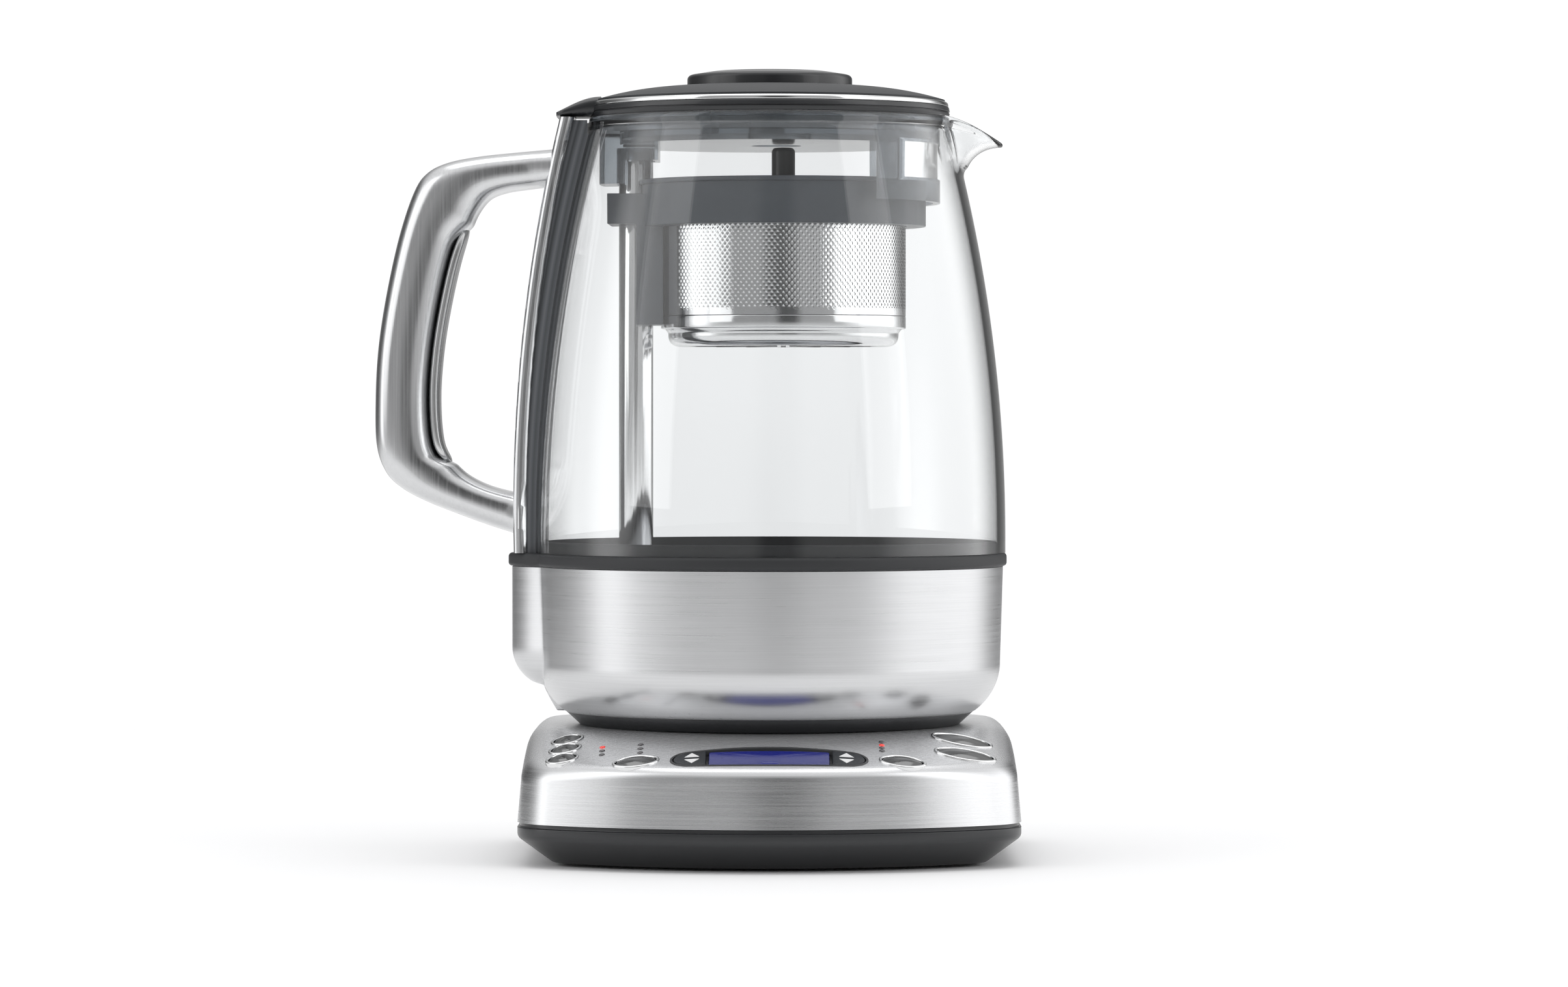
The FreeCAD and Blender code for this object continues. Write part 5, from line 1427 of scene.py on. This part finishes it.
def area_light(name, place, aim, size, power):
    """A large soft light that looks at a point."""
    data = bpy.data.lights.new(name, "AREA")
    data.shape = "RECTANGLE"
    data.size, data.size_y = size
    data.energy = power
    lamp = bpy.data.objects.new(name, data)
    bpy.context.scene.collection.objects.link(lamp)
    lamp.location = place
    lamp.rotation_mode = "QUATERNION"
    back = Vector(place) - Vector(aim)
    lamp.rotation_quaternion = back.to_track_quat("Z", "Y")


def studio_floor():
    """A wide plain floor."""
    stage = settings("stage")
    radius = np.array([0.0, 200, 600, 1200])
    shape = turned(np.column_stack([radius, np.zeros(len(radius))]), steps=64)
    finish = Finish("floor", roughness=0.7)
    drift = finish.noise((1.5, 1.5, 1.5), detail=1.0)
    finish.set("Base Color", finish.mix(drift, scaled(stage.floor, 0.995), stage.floor))
    reach = finish.add("VectorMath", {"operation": "LENGTH"}, {0: finish.place()}, output=1)
    fade = finish.add(
        "MapRange", {"interpolation_type": "SMOOTHSTEP"}, {0: reach, 1: 0.35, 2: 1.1}
    )
    finish.set("Alpha", 1 - fade)
    FINISH["floor"] = finish.material
    floor = build("floor", shape, "floor", None)


def camera():
    """The camera, level with the middle of the jug and aimed a little down."""
    stage = settings("stage")
    data = bpy.data.cameras.new("camera")
    data.lens = stage.lens
    data.sensor_width = 36
    data.clip_end = 60
    eye = bpy.data.objects.new("camera", data)
    bpy.context.scene.collection.objects.link(eye)
    eye.location = (stage.camera_side, -stage.camera_distance, stage.camera_height)
    pitch = math.atan2(stage.camera_height - stage.camera_aim, stage.camera_distance)
    eye.rotation_euler = (math.pi / 2 - pitch, 0, 0)
    bpy.context.scene.camera = eye


def stage_lights():
    """Two large side lights and one overhead."""
    stage = settings("stage")
    middle = (0, 0, 0.12)
    for side, name in ((-1, "left_light"), (1, "right_light")):
        area_light(name, (side * 1.3, -0.75, 0.75), middle, (0.7, 1.3), stage.key_power)
    area_light("top_light", (0, 0.1, 1.6), (0, 0, 0), (1.4, 1.2), stage.top_power)
    bpy.context.scene.view_settings.view_transform = "Standard"


KEPT_NODES = {
    "base_inner_frame": ("black_plastic", 0),
    "rubber_foot_ring": ("black_rubber", 0.3),
    "base_screws": ("motor_steel", 0),
    "cord_inlet": ("black_rubber", 0.4),
    "base_connector": ("black_plastic", 0.4),
    "base_contacts": ("copper_alloy", 0),
    "power_board": ("green_board", 0),
    "power_relay": ("black_plastic", 0.3),
    "power_transformer": ("copper_alloy", 0),
    "control_board": ("green_board", 0),
    "button_switches": ("black_plastic", 0),
    "display_module": ("green_board", 0),
    "heater_plate": ("motor_steel", 0),
    "heating_element": ("motor_steel", 0),
    "jug_foot": ("black_plastic", 0.3),
    "jug_connector": ("black_plastic", 0),
    "temperature_sensor": ("polished_steel", 0),
    "lift_motor": ("motor_steel", 0),
    "motor_bracket": ("motor_steel", 0),
    "guide_post": ("polished_steel", 0.6),
    "handle_spine": ("spine_steel", 0),
    "spine_gasket": ("gasket_plastic", 0),
    "handle_screws": ("motor_steel", 0),
    "jug_board": ("green_board", 0),
    "lift_screw": ("motor_steel", 0),
    "magnet_shuttle": ("motor_steel", 0),
    "basket_ring": ("grey_plastic", 0.5),
    "basket_magnets": ("motor_steel", 0),
    "basket_lid": ("polished_steel", 0.3),
    "basket_lid_knob": ("black_plastic", 0),
    "lid_tub": ("smoke_plastic", 0.5),
    "spout_filter": ("polished_steel", 0),
    "lid_screws": ("motor_steel", 0),
}


# ---------------------------------------------------------------- operators


class BREWER_OT_finishes(bpy.types.Operator):
    """Makes the finishes that every piece uses"""

    bl_idname = "brewer.finishes"
    bl_label = "Finishes"

    def execute(self, context):
        make_finishes()
        return {"FINISHED"}


class BREWER_OT_stage(bpy.types.Operator):
    """Makes the floor, the lights, the surroundings and the camera"""

    bl_idname = "brewer.stage"
    bl_label = "Stage"

    def execute(self, context):
        world_light()
        studio_floor()
        stage_lights()
        camera()
        return {"FINISHED"}


class BREWER_OT_base(bpy.types.Operator):
    """Makes the steel cover and the black housing of the power base"""

    bl_idname = "brewer.base"
    bl_label = "Power base"

    def execute(self, context):
        base_shell()
        lower_housing()
        return {"FINISHED"}


class BREWER_OT_buttons(bpy.types.Operator):
    """Makes the seven push buttons and the bright rings round them"""

    bl_idname = "brewer.buttons"
    bl_label = "Buttons"

    def execute(self, context):
        button_caps()
        button_rings()
        return {"FINISHED"}


class BREWER_OT_display(bpy.types.Operator):
    """Makes the display with its two rocker keys, and the small lights of the panel"""

    bl_idname = "brewer.display"
    bl_label = "Display and lights"

    def execute(self, context):
        display_unit()
        panel_lights()
        return {"FINISHED"}


class BREWER_OT_foot(bpy.types.Operator):
    """Makes the jug's steel foot and the ring that seals the glass to it"""

    bl_idname = "brewer.foot"
    bl_label = "Jug foot"

    def execute(self, context):
        jug_base()
        seal_ring()
        return {"FINISHED"}


class BREWER_OT_glass(bpy.types.Operator):
    """Makes the glass body with its spout"""

    bl_idname = "brewer.glass"
    bl_label = "Glass"

    def execute(self, context):
        glass_body()
        return {"FINISHED"}


class BREWER_OT_handle(bpy.types.Operator):
    """Makes the steel handle and the strip inside its grip"""

    bl_idname = "brewer.handle"
    bl_label = "Handle"

    def execute(self, context):
        handle()
        return {"FINISHED"}


class BREWER_OT_basket(bpy.types.Operator):
    """Makes the perforated basket wall, its band and its floor"""

    bl_idname = "brewer.basket"
    bl_label = "Tea basket"

    def execute(self, context):
        perforated_tube()
        basket_floor()
        return {"FINISHED"}


class BREWER_OT_lid(bpy.types.Operator):
    """Makes the knob, the crown, the steel trim and the black rim of the jug's lid"""

    bl_idname = "brewer.lid"
    bl_label = "Lid"

    def execute(self, context):
        lid_round_pieces()
        return {"FINISHED"}


class BREWER_OT_kept(bpy.types.Operator):
    """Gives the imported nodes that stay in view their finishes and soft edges"""

    bl_idname = "brewer.kept"
    bl_label = "Packed pieces"

    def execute(self, context):
        for name, (finish, width) in KEPT_NODES.items():
            bevelled(name, finish, width)
        return {"FINISHED"}


OPERATORS = (
    BREWER_OT_finishes,
    BREWER_OT_stage,
    BREWER_OT_base,
    BREWER_OT_buttons,
    BREWER_OT_display,
    BREWER_OT_foot,
    BREWER_OT_glass,
    BREWER_OT_handle,
    BREWER_OT_basket,
    BREWER_OT_lid,
    BREWER_OT_kept,
)

GROUPS = {
    "base": BaseSizes,
    "jug": JugSizes,
    "basket": BasketSizes,
    "finishes": Finishes,
    "stage": StageSettings,
}


class BREWER_PT_panel(bpy.types.Panel):
    """Lists the brewer's sizes, colours and operators"""

    bl_idname = "BREWER_PT_panel"
    bl_label = "Tea brewer"
    bl_space_type = "VIEW_3D"
    bl_region_type = "UI"
    bl_category = "Brewer"

    def draw(self, context):
        for name in GROUPS:
            box = self.layout.box()
            group = settings(name)
            for key in group.bl_rna.properties.keys():
                if key not in ("name", "rna_type"):
                    box.prop(group, key)
        for operator in OPERATORS:
            self.layout.operator(operator.bl_idname)


def register():
    """Registers the property groups, the operators and the panel."""
    for name, group in GROUPS.items():
        bpy.utils.register_class(group)
        setattr(bpy.types.Scene, f"brewer_{name}", bpy.props.PointerProperty(type=group))
    for operator in OPERATORS:
        bpy.utils.register_class(operator)
    bpy.utils.register_class(BREWER_PT_panel)


def unregister():
    """Takes back what register has done, in reverse."""
    bpy.utils.unregister_class(BREWER_PT_panel)
    for operator in reversed(OPERATORS):
        bpy.utils.unregister_class(operator)
    for name, group in reversed(GROUPS.items()):
        delattr(bpy.types.Scene, f"brewer_{name}")
        bpy.utils.unregister_class(group)


def main():
    """Makes the whole brewer."""
    register()
    for operator in OPERATORS:
        group, name = operator.bl_idname.split(".")
        getattr(getattr(bpy.ops, group), name)()


if __name__ == "__main__":
    main()
